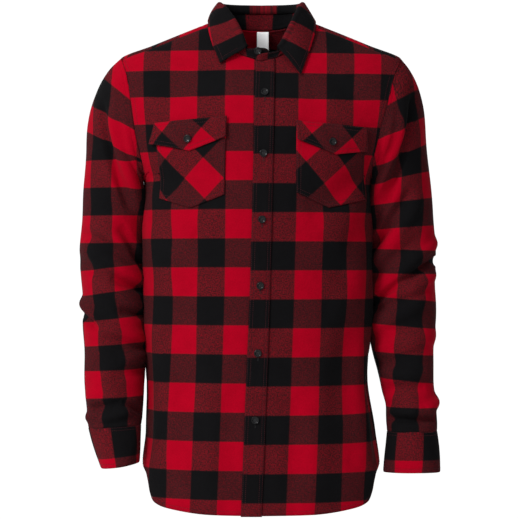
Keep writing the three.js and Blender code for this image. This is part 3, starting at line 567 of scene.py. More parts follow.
def flannel(name):
    """Brushed twill in a 2 x 2 check; the UV map cloth is in squares, and the UV map edge in centimetres."""
    material = bpy.data.materials.new(name)
    n = Nodes(material)
    cloth_uv = n.add("ShaderNodeUVMap", uv_map="cloth")
    edge_uv = n.add("ShaderNodeUVMap", uv_map="edge")
    place = n.add("ShaderNodeVectorMath", {0: cloth_uv, 3: SQUARE}, operation="SCALE")  # in millimetres
    # the brushed edges of the squares wander a little
    fuzz = n.math("MULTIPLY_ADD", n.noise(place, 0.9, 2.0, 0.6), 0.05, -0.025)
    square = n.split(cloth_uv)

    def stripe(axis):
        wave = n.math("SINE", n.math("MULTIPLY", n.math("ADD", square[axis], fuzz), math.pi))
        return n.math("MULTIPLY_ADD", wave, 9.0, 0.5, clamp=True)

    warp, weft = stripe(0), stripe(1)
    # yarns: long streaks across each other, and the naps between them
    warp_streak = n.noise(n.stretched(place, 1.5, 0.16), 1.0, 2.0, 0.6)
    weft_streak = n.noise(n.stretched(place, 0.16, 1.5), 1.0, 2.0, 0.6)
    speckle = n.noise(place, 0.5, 3.0, 0.8)
    both = n.math("MULTIPLY", warp, weft)
    only_weft = n.math("MULTIPLY", weft, n.math("SUBTRACT", 1.0, warp))
    only_warp = n.math("MULTIPLY", warp, n.math("SUBTRACT", 1.0, weft))
    grain = n.math("ADD", n.math("MULTIPLY", speckle, 2.4), n.math("ADD", warp_streak, weft_streak))
    grain = n.math("MULTIPLY_ADD", grain, 2.8, -5.16)  # about 1, rather more uneven than the yarns
    grain = n.math("MAXIMUM", grain, 0.06)
    mixed = n.math("ADD", n.math("MULTIPLY", only_weft, 0.25), n.math("MULTIPLY", only_warp, 0.14))
    red = n.math("ADD", both, n.math("MULTIPLY", mixed, grain), clamp=True)
    colour = n.mix(red, BLACK, RED)
    # where the yarns mix, the nap scatters a little more light
    mingled = n.math("MULTIPLY", n.math("ADD", only_weft, only_warp), 0.0018)
    colour = n.mix(mingled, colour, (1.0, 1.0, 1.0, 1))
    # faint unevenness of the dye, and of the raised nap
    broad = n.noise(place, 0.035, 2.0)
    tone = n.math("MULTIPLY_ADD", broad, 0.30, 0.85)
    tone = n.math("MULTIPLY", tone, n.math("MULTIPLY_ADD", n.noise(place, 0.6, 3.0, 0.7), 0.6, 0.7))
    # relief: the twill's diagonal, the nap, and the drawn-up cloth along the stitching
    millimetre = n.split(place)
    diagonal = n.math("ADD", millimetre[0], millimetre[1])
    twill = n.math("MULTIPLY", n.math("SINE", n.math("MULTIPLY", diagonal, 2 * math.pi / 1.25)), 0.05)
    nap = n.math("MULTIPLY", n.noise(place, 1.1, 3.0, 0.7), 0.35)
    crumple = n.math("MULTIPLY", n.noise(n.stretched(place, 0.03, 0.045), 1.0, 3.0, 0.55), 2.2)
    away, run = n.split(edge_uv)[:2]
    row = n.math("MULTIPLY", n.math("ABSOLUTE", n.math("SUBTRACT", away, 0.65)), -9.0)
    groove = n.math("MULTIPLY", n.math("EXPONENT", row), -0.5)
    near = n.math("MULTIPLY_ADD", away, -0.75, 1.15, clamp=True)
    drawn = {0: n.math("MULTIPLY", away, 0.7), 1: n.math("MULTIPLY", run, 1.9)}
    pucker = n.noise(n.add("ShaderNodeCombineXYZ", drawn), 1.0, 2.0)
    pucker = n.math("MULTIPLY", n.math("MULTIPLY", pucker, near), 1.5)
    height = n.math("ADD", n.math("ADD", twill, nap), n.math("ADD", n.math("ADD", groove, pucker), crumple))
    bump = n.add("ShaderNodeBump", {"Height": height, "Strength": 0.8, "Distance": 0.001})
    n.surface(
        Base_Color=n.toned(colour, tone),
        Roughness=0.95,
        Specular_IOR_Level=0.02,
        Sheen_Weight=0.008,
        Sheen_Roughness=0.5,
        Normal=bump,
    )
    return material


def plain(name, colour, roughness, specular=0.5, scale=800.0, depth=0.1):
    """A plain material with a faint grain in the object's own coordinates."""
    material = bpy.data.materials.new(name)
    n = Nodes(material)
    coordinates = n.add("ShaderNodeTexCoord", out="Object")
    grain = n.noise(coordinates, scale, 3.0, 0.6)
    tone = n.math("MULTIPLY_ADD", grain, 0.3, 0.85)
    bump = n.add("ShaderNodeBump", {"Height": grain, "Strength": depth, "Distance": 0.0003})
    n.surface(
        Base_Color=n.toned(colour, tone),
        Roughness=roughness,
        Specular_IOR_Level=specular,
        Normal=bump,
    )
    return material


CLOTH = flannel("flannel")
THREAD = plain("thread", (0.045, 0.003, 0.007, 1), 0.7, 0.2)
BLACK_THREAD = plain("black_thread", (0.006, 0.006, 0.0065, 1), 0.6, 0.3)
HORN = plain("button_black", (0.0025, 0.0025, 0.003, 1), 0.13, 0.17, scale=300.0, depth=0.05)
TAPE = plain("label_white", (0.93, 0.93, 0.94, 1), 0.8, 0.3, scale=1500.0, depth=0.4)


# ---------------------------------------------------------------- pieces
def unit(v):
    return v / np.maximum(np.linalg.norm(v, axis=-1, keepdims=True), 1e-9)


def grid_normals(rows, closed=False):
    """Normals of a grid of points. A closed grid's last column is its first."""
    wide = np.concatenate([rows[:, -2:-1], rows, rows[:, 1:2]], 1) if closed else rows
    du = np.gradient(wide, axis=1)
    dv = np.gradient(wide, axis=0)
    n = unit(np.cross(du, dv))
    return n[:, 1:-1] if closed else n


def lengths(rows, axis):
    """Distance along each line of a grid from its start."""
    step = np.linalg.norm(np.diff(rows, axis=axis), axis=-1)
    start = np.zeros_like(np.take(step, [0], axis=axis))
    return np.concatenate([start, np.cumsum(step, axis=axis)], axis)


def edge_map(rows, edges):
    """Distance from the nearest stitched edge, and distance along it, in centimetres."""
    up, across = lengths(rows, 0), lengths(rows, 1)
    choices = {
        "bottom": (up, across),
        "top": (up[-1:] - up, across),
        "start": (across, up),
        "end": (across[:, -1:] - across, up),
    }
    away, run = np.full(rows.shape[:2], 90.0), np.zeros(rows.shape[:2])
    for edge in edges:
        d, s = choices[edge]
        away, run = np.where(d < away, d, away), np.where(d < away, s, run)
    return np.stack([away / 10, run / 10], -1)


def make(name, points, faces, uvs, materials, slots=None):
    mesh = bpy.data.meshes.new(name)
    mesh.from_pydata((points * MM).tolist(), [], faces)
    mesh.update()
    for key, value in uvs.items():
        mesh.uv_layers.new(name=key).data.foreach_set("uv", np.asarray(value, np.float32).ravel())
    mesh.polygons.foreach_set("use_smooth", np.ones(len(mesh.polygons), bool))
    for material in materials:
        mesh.materials.append(material)
    if slots is not None:
        mesh.polygons.foreach_set("material_index", slots)
    mesh.update()
    piece = bpy.data.objects.new(name, mesh)
    bpy.context.scene.collection.objects.link(piece)
    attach(piece, "root")
    return piece


def shell(name, rows, check, thick, edges=(), closed=False, material=None):
    """A sheet of cloth with two sides. rows are its outside, left to right and upwards from outside."""
    nv, nu = rows.shape[:2]
    thickness = np.full((nv, nu), float(thick))
    slim = np.zeros((nv, nu))  # the edges are pressed thin
    slim[[0, -1]] = 0.32 * thick
    if not closed:
        slim[:, [0, -1]] = 0.32 * thick
    n = grid_normals(rows, closed)
    outer = rows - n * slim[..., None]
    inner = rows - n * (thickness - slim)[..., None]
    seams = edge_map(rows, edges)
    j, i = [a.ravel() for a in np.meshgrid(np.arange(nv - 1), np.arange(nu - 1), indexing="ij")]
    quad = np.stack([j * nu + i, j * nu + i + 1, (j + 1) * nu + i + 1, (j + 1) * nu + i], -1)
    size = nv * nu
    parts = [quad, quad[:, ::-1] + size]

    def rim(line, flip):
        q = np.stack([line[:-1], line[1:], line[1:] + size, line[:-1] + size], -1)
        parts.append(q if flip else q[:, ::-1])

    index = np.arange(size).reshape(nv, nu)
    rim(index[0], False)
    rim(index[-1], True)
    if not closed:
        rim(index[:, 0], True)
        rim(index[:, -1], False)
    corners = np.concatenate(parts)
    uv = {
        "cloth": np.concatenate([check.reshape(-1, 2)] * 2)[corners],
        "edge": np.concatenate([seams.reshape(-1, 2)] * 2)[corners],
    }
    points = np.concatenate([outer.reshape(-1, 3), inner.reshape(-1, 3)])
    if closed:  # the last column's faces use the first column's points
        merged = np.concatenate([index.copy(), index + size])
        merged[:, -1] = merged[:, 0]
        corners = merged.reshape(-1)[corners]
        keep = np.zeros(2 * size, bool)
        keep[merged.reshape(-1)] = True
        corners = (np.cumsum(keep) - 1)[corners]
        points = points[keep]
    piece = make(name, points, corners.tolist(), uv, [material or CLOTH])
    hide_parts(name)
    return piece


# ---- stitching: one small raised grain of thread per stitch
stitch_points, stitch_faces = [], []
STITCH = np.array(
    [(-1, 0, 0)] + [(end, *p) for end in (-0.5, 0.5) for p in ((1, 0.2), (-1, 0.2), (0, 1))] + [(1, 0, 0)]
)
STITCH_FACES = [(0, 2, 3), (0, 3, 1), (2, 5, 6, 3), (3, 6, 4, 1), (5, 7, 6), (6, 7, 4), (0, 1, 4, 7, 5, 2)]


def sew(points, normals, pitch=3.0, length=2.1, radius=0.32, into=None):
    """Stitches along a line of points on a surface."""
    run = np.concatenate([[0], np.cumsum(np.linalg.norm(np.diff(points, axis=0), axis=-1))])
    count = int(run[-1] / pitch)
    at = (np.arange(count) + 0.5) * run[-1] / max(count, 1)
    centre = np.stack([np.interp(at, run, points[:, k]) for k in range(3)], -1)
    ahead = np.stack([np.interp(at + 0.8, run, points[:, k]) for k in range(3)], -1)
    behind = np.stack([np.interp(at - 0.8, run, points[:, k]) for k in range(3)], -1)
    up = unit(np.stack([np.interp(at, run, normals[:, k]) for k in range(3)], -1))
    along = unit(ahead - behind)
    aside = unit(np.cross(up, along))
    up = np.cross(along, aside)
    target = into if into is not None else (stitch_points, stitch_faces)
    for k in range(count):
        start = sum(len(p) for p in target[0])
        shape = STITCH * (length / 2, radius, radius)
        target[0].append(centre[k] + shape @ np.stack([along[k], aside[k], up[k]]))
        target[1].extend(tuple(start + v for v in f) for f in STITCH_FACES)


def inset(rows, edge, distance, closed=False):
    """A line on a grid of points at a distance from an edge, with the surface's normals."""
    normals = grid_normals(rows, closed)
    if edge in ("start", "end"):
        rows, normals = rows.swapaxes(0, 1), normals.swapaxes(0, 1)
    if edge in ("end", "top"):
        rows, normals = rows[::-1], normals[::-1]
    run = lengths(rows, 0)
    points, ups = [], []
    for i in range(rows.shape[1]):
        if run[-1, i] <= distance:
            continue
        points.append([np.interp(distance, run[:, i], rows[:, i, k]) for k in range(3)])
        ups.append([np.interp(distance, run[:, i], normals[:, i, k]) for k in range(3)])
    return np.array(points), np.array(ups)


def topstitch(rows, edge, distances, closed=False, first=0.0, last=1.0):
    for distance in distances:
        points, ups = inset(rows, edge, distance, closed)
        a, b = int(first * (len(points) - 1)), int(last * (len(points) - 1)) + 1
        if b - a > 2:
            sew(points[a:b], ups[a:b])


# ---------------------------------------------------------------- body panels
CLOTH_WALL, DOUBLE_WALL = 1.6, 2.4


def front_edge(under, z):
    """The x where a front ends: so far from the placket's seam, to the wearer's right."""
    return placket_x["seam"](z) - under


patches = {
    "front_right": front_patch("right", partial(front_edge, 8.2)),
    "front_left": front_patch("left", partial(front_edge, 7.0)),
    "back": back_patch(),
    "yoke": yoke_patch(),
}
checks = {"front_right": right_check, "front_left": left_check, "back": back_check}
for name, patch in patches.items():
    angle, z = patch[..., 0], patch[..., 1]
    rows = skin(angle, z)
    flat_rows = body_point(angle, z)
    if name == "yoke":
        rise = lengths(flat_rows, 0)
        check = np.stack([(flat_rows[..., 0] - 3) / 43.7 + 1, (72 - rise) / SQUARE + 1], -1)
    else:
        check = checks[name](angle, z)
    wall = DOUBLE_WALL if name == "yoke" else CLOTH_WALL
    piece = shell(name, rows, check, wall, edges=("bottom", "top", "start", "end"))
    below = BELOW / (len(rows) - 1)
    if name == "yoke":
        topstitch(rows, "bottom", (1.6, 6.5))
        topstitch(rows, "start", (1.6, 8.0))
        topstitch(rows, "end", (1.6, 8.0))
    else:
        topstitch(rows, "bottom", (6.0,))
        outer = ("start", "end") if name == "back" else (("end",) if name == "front_left" else ("start",))
        for edge in outer:
            topstitch(rows, edge, (1.6, 8.0), first=below)
            if name == "back":
                topstitch(rows, edge, (1.6, 7.0), last=below)

# ---------------------------------------------------------------- placket
t = np.linspace(0, 1, 240)[:, None]
u = np.linspace(0, 1, 13)[None, :]


def strip_line(column):
    top = neck_points(angle_at(placket_x[column](-62), -62))[1] - 3.8
    z = -766 + (top + 766) * t
    return placket_x[column](z), z


(x0, z0), (x1, z1) = strip_line("edge"), strip_line("seam")
x, z = x0 + (x1 - x0) * u, z0 + (z1 - z0) * u
ripple = 0.45 * np.sin(z / 29 + 1.4 * np.sin(z / 53)) * (0.5 + 0.5 * np.cos(u * math.pi * 2))
sewn = 1.15 * np.clip((u - 0.78) / 0.2, 0, 1)  # the seam's side is drawn down onto the front
rows = on_front(x, z, 3.6 + ripple - sewn)
check = np.stack([-0.5 + (u - 0.5) * 32 / 44 + 0 * x, row_at(z)], -1)
placket = shell("placket", rows, check, DOUBLE_WALL, edges=("start", "end"))
on_front(x, z, 3.6)
topstitch(rows, "start", (1.6, 6.0))
topstitch(rows, "end", (1.6, 6.0))

# ---------------------------------------------------------------- sleeves
STATIONS, TURNS = 170, 112
SLEEVE_ROWS = {  # heights where each row of squares begins, at the sleeve's outer and inner edges
    "right": [
        (-62, -130), (-123, -171), (-168, -211.5), (-215.5, -214.5),
        (-258, -258), (-302, -302), (-345, -345),
        (-388.5, -379), (-428, -416.5), (-469.5, -460), (-508, -501.5),
        (-546.5, -543), (-589.5, -585), (-648, -642),
    ],
    "left": [
        (-87, -140), (-136.5, -185), (-182.5, -223), (-229, -251),
        (-272.5, -285), (-317, -324), (-357.5, -354),
        (-394, -393), (-437.5, -429), (-480.5, -472), (-522.5, -516),
        (-566.5, -556), (-604, -601.5), (-646, -645),
    ],
}
SLEEVE_COLUMNS_AT = {  # places of two or three column boundaries seen from the front, by height
    "right": (
        table(
            "z a b c",
            [
                (-640, -246, -208, -176), (-576, -247.5, -210, -178),
                (-530, -253, -213, -181), (-480, -256, -220, -188),
                (-434, -263, -228, -190), (-350, -271, -232, -195),
                (-200, -265, -236, -193.5), (-60, -262, -234, -190),
            ],
        ),
        -1,
    ),
    "left": (
        table(
            "z a b",
            [
                (-620, 204, 246), (-566, 207.5, 247), (-530, 208, 253.5),
                (-480, 210, 255), (-436, 214, 256),
                (-395, 214, 259), (-362, 220, 250), (-330, 217, 252), (-290, 217, 256), (-230, 221, 251),
                (-170, 220.5, 251), (-100, 206, 240), (-60, 200, 234),
            ],
        ),
        1,
    ),
}
sleeve_curves = {s: {c: curve(SLEEVE[s], "at", c) for c in SLEEVE[s] if c != "at"} for s in SLEEVE}


def section(row, turn):
    c, s = np.cos(turn * RAD), np.sin(turn * RAD)
    return np.stack(
        [
            (row["outX"] + row["inX"]) / 2 + (row["outX"] - row["inX"]) / 2 * c,
            row["midY"] - row["deep"] * s,
            (row["outZ"] + row["inZ"]) / 2 + (row["outZ"] - row["inZ"]) / 2 * c,
        ],
        -1,
    )


LEAN = table(  # how far the sleeves' inner edges lean in against the body
    "at right left",
    [(0.3, 0, 0), (1.2, 5.0, 5.0), (8.6, 4.6, 4.6), (9.6, 4.6, 1.0), (10.4, 2.5, 0), (11.2, 0, 0), (14, 0, 0)],
)
lean = {s: curve(LEAN, "at", s) for s in ("right", "left")}


def sleeve_point(side, at, turn, folded=False):
    at, turn = np.broadcast_arrays(np.asarray(at, float), np.asarray(turn, float))
    row = {c: f(at) for c, f in sleeve_curves[side].items()}
    row["inX"] = row["inX"] - sign_of(side) * lean[side](at)
    first = {c: v[0] for c, v in SLEEVE[side].items()}
    seam = armhole_points(side, turn)
    edge = skin(seam[..., 0], seam[..., 1]) if folded else body_point(seam[..., 0], seam[..., 1])
    return section(row, turn) + row["hold"][..., None] * (edge - section(first, turn))


def between_rows(side, points):
    """Row coordinate on a sleeve: the lines between the rows slope from the outer edge to the inner one."""
    start_x, span_x = (277, -82) if side == "right" else (276.5, -95)
    share = (np.abs(points[..., 0]) - start_x) / span_x
    share = np.clip(share, -0.15, 1.15)
    lines = [(30, -40)] + SLEEVE_ROWS[side] + [(-700, -700)]
    total = np.zeros(points.shape[:-1])
    for k in range(len(lines) - 1):
        high = lines[k][0] + (lines[k][1] - lines[k][0]) * share
        low = lines[k + 1][0] + (lines[k + 1][1] - lines[k + 1][0]) * share
        total += np.clip((high - points[..., 2]) / np.maximum(high - low, 4), 0, 1)
    return total


def round_columns(side, points, turns):
    """Column coordinate on a sleeve, by the distance round it between columns known at the front."""
    data, first = SLEEVE_COLUMNS_AT[side]
    keys = [k for k in data if k != "z"]
    flat = points[..., :2]
    run = lengths(flat, 1)
    zero = np.argmin(np.abs(turns))
    run = run - run[:, [zero]]
    out = np.zeros(points.shape[:-1])
    front = (turns >= 0) & (turns <= 180)
    for j in range(len(points)):
        x, z, s = points[j, front, 0], points[j, front, 2], run[j, front]
        order = np.argsort(x)
        known = []
        for key in keys:
            places = np.interp(z[order], data["z"], data[key])
            k = np.argmin(np.abs(x[order] - places))
            known.append(s[order][k])
        known = np.array(known)
        # the distance grows from the outer edge to the inner one; the columns are counted towards +X
        d = run[j]
        across = np.sort(known)
        counts = np.arange(len(known)) + first
        counts = counts if (known[-1] > known[0]) else counts[::-1]
        value = np.interp(d, across, counts)
        slope = np.sign(counts[-1] - counts[0]) / 44.0
        value = np.where(d < across[0], counts[0] + (d - across[0]) * slope, value)
        value = np.where(d > across[-1], counts[-1] + (d - across[-1]) * slope, value)
        out[j] = value
    return out


def smooth_rows(values, passes=6):
    for _ in range(passes):
        values = np.concatenate([values[:1], (values[:-2] + 2 * values[1:-1] + values[2:]) / 4, values[-1:]])
    return values


for side in ("right", "left"):
    name = "sleeve_" + side
    turns = np.linspace(180, -180, TURNS + 1)
    at = np.linspace(0, 14, STATIONS + 1)[:, None]
    base = sleeve_point(side, at, turns[None, :])
    full = sleeve_point(side, at, turns[None, :], folded=True)
    if side == "left":
        base, full, turns = base[:, ::-1], full[:, ::-1], turns[::-1]
    columns = smooth_rows(round_columns(side, base, turns))
    check = np.stack([columns, between_rows(side, base)], -1)
    height = SLEEVE_DEPTH * fold_height(base, SLEEVE_FOLDS[side], partial(sleeve_point, side))
    x, y, z = np.moveaxis(base, -1, 0)
    height += 0.7 * np.sin(z / 17 + x / 30 + 1.3 * np.sin(y / 24)) + 0.5 * np.sin(y / 15 + z / 60)
    height *= np.clip(at / 1.2, 0, 1) * np.clip((14 - at) / 0.35, 0.15, 1)
    rows = full + grid_normals(full, True) * height[..., None]
    piece = shell(name, rows, check, CLOTH_WALL, edges=("bottom", "top"), closed=True)

# ---------------------------------------------------------------- cuffs and sleeve plackets
OPENS, OVERLAP = -75, 40
# a line between rows, the cuff's height, the turn of a line between columns, its number, the sense
CUFF_LINE = {"right": (0.76, 60, 83, 1, 1), "left": (0.69, 63, 130, 0, -1)}


def cuff_point(side, turn, share, lift):
    last = {c: v[-1] for c, v in SLEEVE[side].items()}
    row = {c: last[c] + (CUFF[side][c] - last[c]) * share for c in CUFF[side]}
    across, height = [(row["out" + way] + row["in" + way]) / 2 for way in "XZ"]
    middle = np.stack([across, row["midY"] + 0 * across, height], -1)
    point = section(row, turn)
    return point + unit(point - middle) * np.asarray(lift)[..., None]


for side in ("right", "left"):
    turns = np.linspace(OPENS, OPENS + 360 + OVERLAP, 150)[None, :]
    share = np.linspace(1, -0.02, 30)[:, None]
    over = 3.2 * np.clip((turns - OPENS - 330) / 30, 0, 1)
    roll = 0.9 * np.sin(np.pi * share) + 0.5 * np.sin(turns * RAD * 5 + share * 4)
    rows = cuff_point(side, turns + 0 * share, share + 0 * turns, over + roll)
    flat_rows = cuff_point(side, turns + 0 * share, share + 0 * turns, over + 0 * share)
    line, tall, start, first, sense = CUFF_LINE[side]
    run = lengths(flat_rows, 1)
    zero = run[:, np.argmin(np.abs(turns[0] - start))][:, None]
    up = np.maximum((share - line) * tall / SQUARE, -0.95)  # stops short of the next row at the top
    check = np.stack([up + 0 * turns, first + sense * (run - zero) / 43.5], -1)
    if side == "left":
        rows, flat_rows, check = rows[:, ::-1], flat_rows[:, ::-1], check[:, ::-1]
    piece = shell("cuff_" + side, rows, check, DOUBLE_WALL, edges=("bottom", "top", "start", "end"))
    topstitch(rows, "bottom", (6.5,))
    topstitch(rows, "top", (1.6, 6.0))
    topstitch(rows, "start", (6.0,))
    topstitch(rows, "end", (6.0,))

    at = np.linspace(13.97, 11.2, 40)[:, None]
    turns = np.linspace(-68 - 15, -68 + 15, 9)[None, :]
    rows = sleeve_point(side, at, turns)
    if side == "left":
        rows = rows[:, ::-1]
    rows = rows + grid_normals(rows) * 3.4
    check = np.stack([-0.5 + (lengths(rows, 1) - 10) / 44, between_rows(side, rows)], -1)
    piece = shell("sleeve_placket_" + side, rows, check, CLOTH_WALL, edges=("start", "end"))
    for edge in ("start", "end", "top"):
        topstitch(rows, edge, (1.8,))

# ---------------------------------------------------------------- collar band
fold_curves = {c: curve(FOLD, "angle", c) for c in ("right", "left", "y", "z")}
BAND_ROWS = table(
    "angle row",
    [
        (-6, 0.55), (8, 1), (24, 2), (60, 3), (92, 4), (128, 5),
        (163, 6), (202, 7), (240, 8), (275, 9), (305, 10),
        (338, 11), (372, 11.9),
    ],
)


def folded(angle):
    return np.abs(wrap(angle))


def spread(*parts):
    """Evenly spread angles, part after part. A part is its start, its end and its count."""
    return joined(*[np.linspace(*part) for part in parts])


def fold_point(angle, drop=0.0):
    at = folded(angle)
    to_right = np.sin(np.asarray(angle) * RAD) < 0
    x = np.where(to_right, -fold_curves["right"](at), fold_curves["left"](at))
    return np.stack([x, fold_curves["y"](at), fold_curves["z"](at) - drop], -1)


def neck_surface(angle):
    seam = neck_points(wrap(angle))
    return skin(wrap(angle), seam[..., 1])


def over_end(angle, reach):
    return np.maximum(0, 1 - np.maximum(0, angle) / reach)


angles = spread((-6, 90, 60), (90, 270, 70), (270, 372, 64))[None, :]
share = np.linspace(0, 1, 18)[:, None]
low = neck_surface(angles[0])[None]
high = fold_point(angles[0], 1.4 + 9 * over_end(angles[0], 30))[None]
# the ends are rounded: the upper edge comes down to the seam over the last few millimetres
near_end = np.minimum(np.clip((angles + 6) / 9, 0, 1), np.clip((372 - angles) / 9, 0, 1))
round_off = 0.30 + 0.70 * np.sqrt(1 - (1 - near_end) ** 2)
middle = low + (high - low) * (share * round_off)[..., None]
under_leaf = np.clip((angles - 6) / 14, 0, 1) * share
raised = 3.3 * np.minimum(1, 1.7 * over_end(angles, 60)) * (1 - 0.85 * under_leaf)
lift = 0.4 + raised + 3.2 * over_end(angles, 14)
rows = middle + grid_normals(middle) * lift[..., None]
row_number = np.interp(angles, BAND_ROWS["angle"], BAND_ROWS["row"])
check = np.stack([-0.9 + 0.8 * share + 0 * angles, row_number + 0 * share], -1)
stand = shell("collar_stand", rows, check, DOUBLE_WALL, edges=("bottom", "top", "start", "end"))
topstitch(rows, "bottom", (1.8,))
topstitch(rows, "top", (2.0,), first=0.0, last=0.1)
topstitch(rows, "top", (2.0,), first=0.9, last=1.0)

# ---------------------------------------------------------------- collar leaf
LEAF_ROWS = {  # row coordinate by the angle, along the fold and along the outer edge
    "right": (
        [(20, 1.25), (33, 2), (49, 3), (67, 4), (112, 5), (165, 6), (180, 6.4)],
        [(20, 1.06), (48, 2), (69, 3), (92, 4), (122, 5), (165, 6), (180, 6.4)],
    ),
    "left": (
        [(20, 1.4), (29, 2), (46, 3), (68, 4), (110, 5), (158, 6), (180, 6.6)],
        [(20, 1.06), (42, 2), (61, 3), (85, 4), (118, 5), (158, 6), (180, 6.6)],
    ),
}
STRIP = {
    "right": [(20, -2), (45, 0.5), (50, 1.5), (69, 6.3), (80, 9), (180, 12)],
    "left": [(20, 1), (42, 3.5), (61, 5.2), (85, 7), (180, 10)],
}
leaf_curves = {s: {c: curve(LEAF[s], "angle", c) for c in "xz"} for s in LEAF}
LEAF_LIFT = 5.0
ROLL = [  # the leaf's section over the fold: outward and upward from it
    (-4.9, -9.5), (-4.9, -4), (-4.5, 0.2), (-3.4, 2.8), (-1.4, 4.0),
    (0.9, 4.6), (3.0, 4.2), (4.9, 2.8), (5.8, 0.8),
]


def roll_point(angle, out, up):
    point = fold_point(angle)
    way = unit(fold_point(angle + 2) - fold_point(angle - 2))
    seam = neck_points(wrap(angle))
    rise = point - body_point(wrap(angle), seam[..., 1])
    outward = unit(np.cross(way, rise))
    return point + outward * out + np.cross(outward, way) * up


def leaf_edge(angle):
    side = "left" if angle <= 180 else "right"
    sign, at = sign_of(side), float(folded(angle))
    x, z = leaf_curves[side]["x"], leaf_curves[side]["z"]
    if at <= 70:
        return on_front(sign * x(at), z(at), LEAF_LIFT)
    start = on_front(sign * x(70), z(70), LEAF_LIFT)
    turn = max(at, 95)
    round_back = body_point(sign * turn, z(turn))
    out = unit(np.array([round_back[0], round_back[1], 0]))
    round_back = round_back + unit(np.array([out[0], out[1], 0.6])) * LEAF_LIFT
    share = min(1, (at - 70) / 25)
    return start + (round_back - start) * share + np.array([0, 0, 8 * share * (1 - share)])


angles = spread((20, 90, 46), (90, 270, 100), (270, 340, 46))
edge = np.array([leaf_edge(a) for a in angles])
start = roll_point(angles, 5.8, 0.8)
fall = np.linspace(1, 0, 22)[:-1, None, None]
# the leaf bows out a little on its way down
bow = unit(np.cross(np.gradient(start, axis=0), edge - start)) * -1
swell = 2.2 * np.sin(np.pi * fall) * (0.6 + 0.4 * np.sin(angles * RAD * 3))[None, :, None]
down = start[None] + (edge - start)[None] * fall + bow[None] * swell
roll = np.array([roll_point(angles, *line) for line in reversed(ROLL)])
rows = np.concatenate([down, roll])
run = lengths(rows, 0)
share = np.clip(run / run[len(down)], 0, 1)
row_number, strip = np.zeros(rows.shape[:2]), np.zeros(len(angles))
for i, angle in enumerate(angles):
    side = "left" if angle <= 180 else "right"
    inner, outer = LEAF_ROWS[side]
    at = folded(angle)
    a, b = [np.interp(at, *np.array(line).T) for line in (outer, inner)]
    value = a + (b - a) * share[:, i]
    row_number[:, i] = value if side == "left" else 13 - value
    strip[i] = np.interp(at, *np.array(STRIP[side]).T)
# counted round the neck from the wearer's left front to the right one
check = np.stack([np.maximum((strip - run) / SQUARE, -0.96), row_number], -1)
collar = shell("collar", rows, check, 2.2, edges=("bottom", "start", "end"))
topstitch(rows, "bottom", (6.5,))
topstitch(rows, "start", (6.5,), last=0.62)
topstitch(rows, "end", (6.5,), last=0.62)

# ---------------------------------------------------------------- pockets
def patch_grid(top, low, n=44):
    u, v = np.linspace(0, 1, n + 1)[None, :, None], np.linspace(0, 1, n + 1)[:, None, None]
    left, point, right = [np.array(p, float) for p in low]
    lower = np.where(u < 0.5, left + (point - left) * 2 * u, point + (right - point) * (2 * u - 1))
    upper = np.array(top[0], float) + (np.array(top[1], float) - np.array(top[0], float)) * u
    return lower + (upper - lower) * v


POCKET_CHECK = {  # a crossing of the check's lines, and how far the patch is turned
    "pocket_right": (-87.8, -214.4, 0, True),
    "pocket_flap_right": (-90.3, -169.8, 4, False),
    "pocket_left": (127.2, -224.5, -4, True),
    "pocket_flap_left": (136.9, -183.8, -5, False),
}


def bias(name, x, z):
    """Check coordinates of a patch cut on the bias."""
    x0, z0, turn, swapped = POCKET_CHECK[name]
    dx = around(angle_at(x, z), z) - around(angle_at(x0, z0), z0)
    dz = z - z0
    c, s = math.cos(turn * RAD), math.sin(turn * RAD)
    dx, dz = dx * c + dz * s, dz * c - dx * s
    a, b = (dx + dz) / math.sqrt(2) / SQUARE + 1, (dz - dx) / math.sqrt(2) / SQUARE + 1
    return np.stack([b, a] if swapped else [a, b], -1)


for side in ("right", "left"):
    p = POCKETS[side]
    name = "pocket_" + side
    grid = patch_grid(p["top"], p["low"])
    x, z = grid[..., 0], grid[..., 1]
    u, v = np.linspace(0, 1, 45)[None, :], np.linspace(0, 1, 45)[:, None]
    dome = np.sin(np.pi * u) * np.sin(np.pi * v)
    belly = (1.5 + 0.5 * np.sin(x / 13 + z / 21)) * dome
    rows = on_front(x, z, 2.5 + belly)
    piece = shell(name, rows, bias(name, x, z), CLOTH_WALL, edges=("bottom", "start", "end"))
    on_front(x, z, 2.5)
    for edge in ("bottom", "start", "end"):
        topstitch(rows, edge, (1.8, 7.5))
    name = "pocket_flap_" + side
    grid = patch_grid(p["flap_top"], p["flap_low"])
    x, z = grid[..., 0], grid[..., 1]
    sag = (1 - v) ** 2 * (1.6 + 1.2 * np.cos(u * 4 * np.pi) * np.abs(u - 0.5) * 2) + 0.6 * belly
    near_button = np.exp(-(((x - p["button"][0]) ** 2 + (z - p["button"][1]) ** 2) / 300))
    rows = on_front(x, z, 5.8 + belly * 0.9 + sag * (1 - 0.6 * near_button))
    piece = shell(name, rows, bias(name, x, z), DOUBLE_WALL, edges=("bottom", "start", "end", "top"))
    on_front(x, z, 5.8)
    for edge in ("bottom", "start", "end", "top"):
        topstitch(rows, edge, (1.8, 7.0))

# ---------------------------------------------------------------- buttons
PROFILE = [
    (0, 1.45), (1.0, 1.45), (3.1, 1.5), (3.7, 1.65), (4.2, 2.15),
    (4.6, 2.55), (5.2, 2.65), (5.7, 2.4), (5.98, 1.9),
    (6.0, 1.2), (5.7, 0.45), (5.0, 0.05), (0, 0),
]


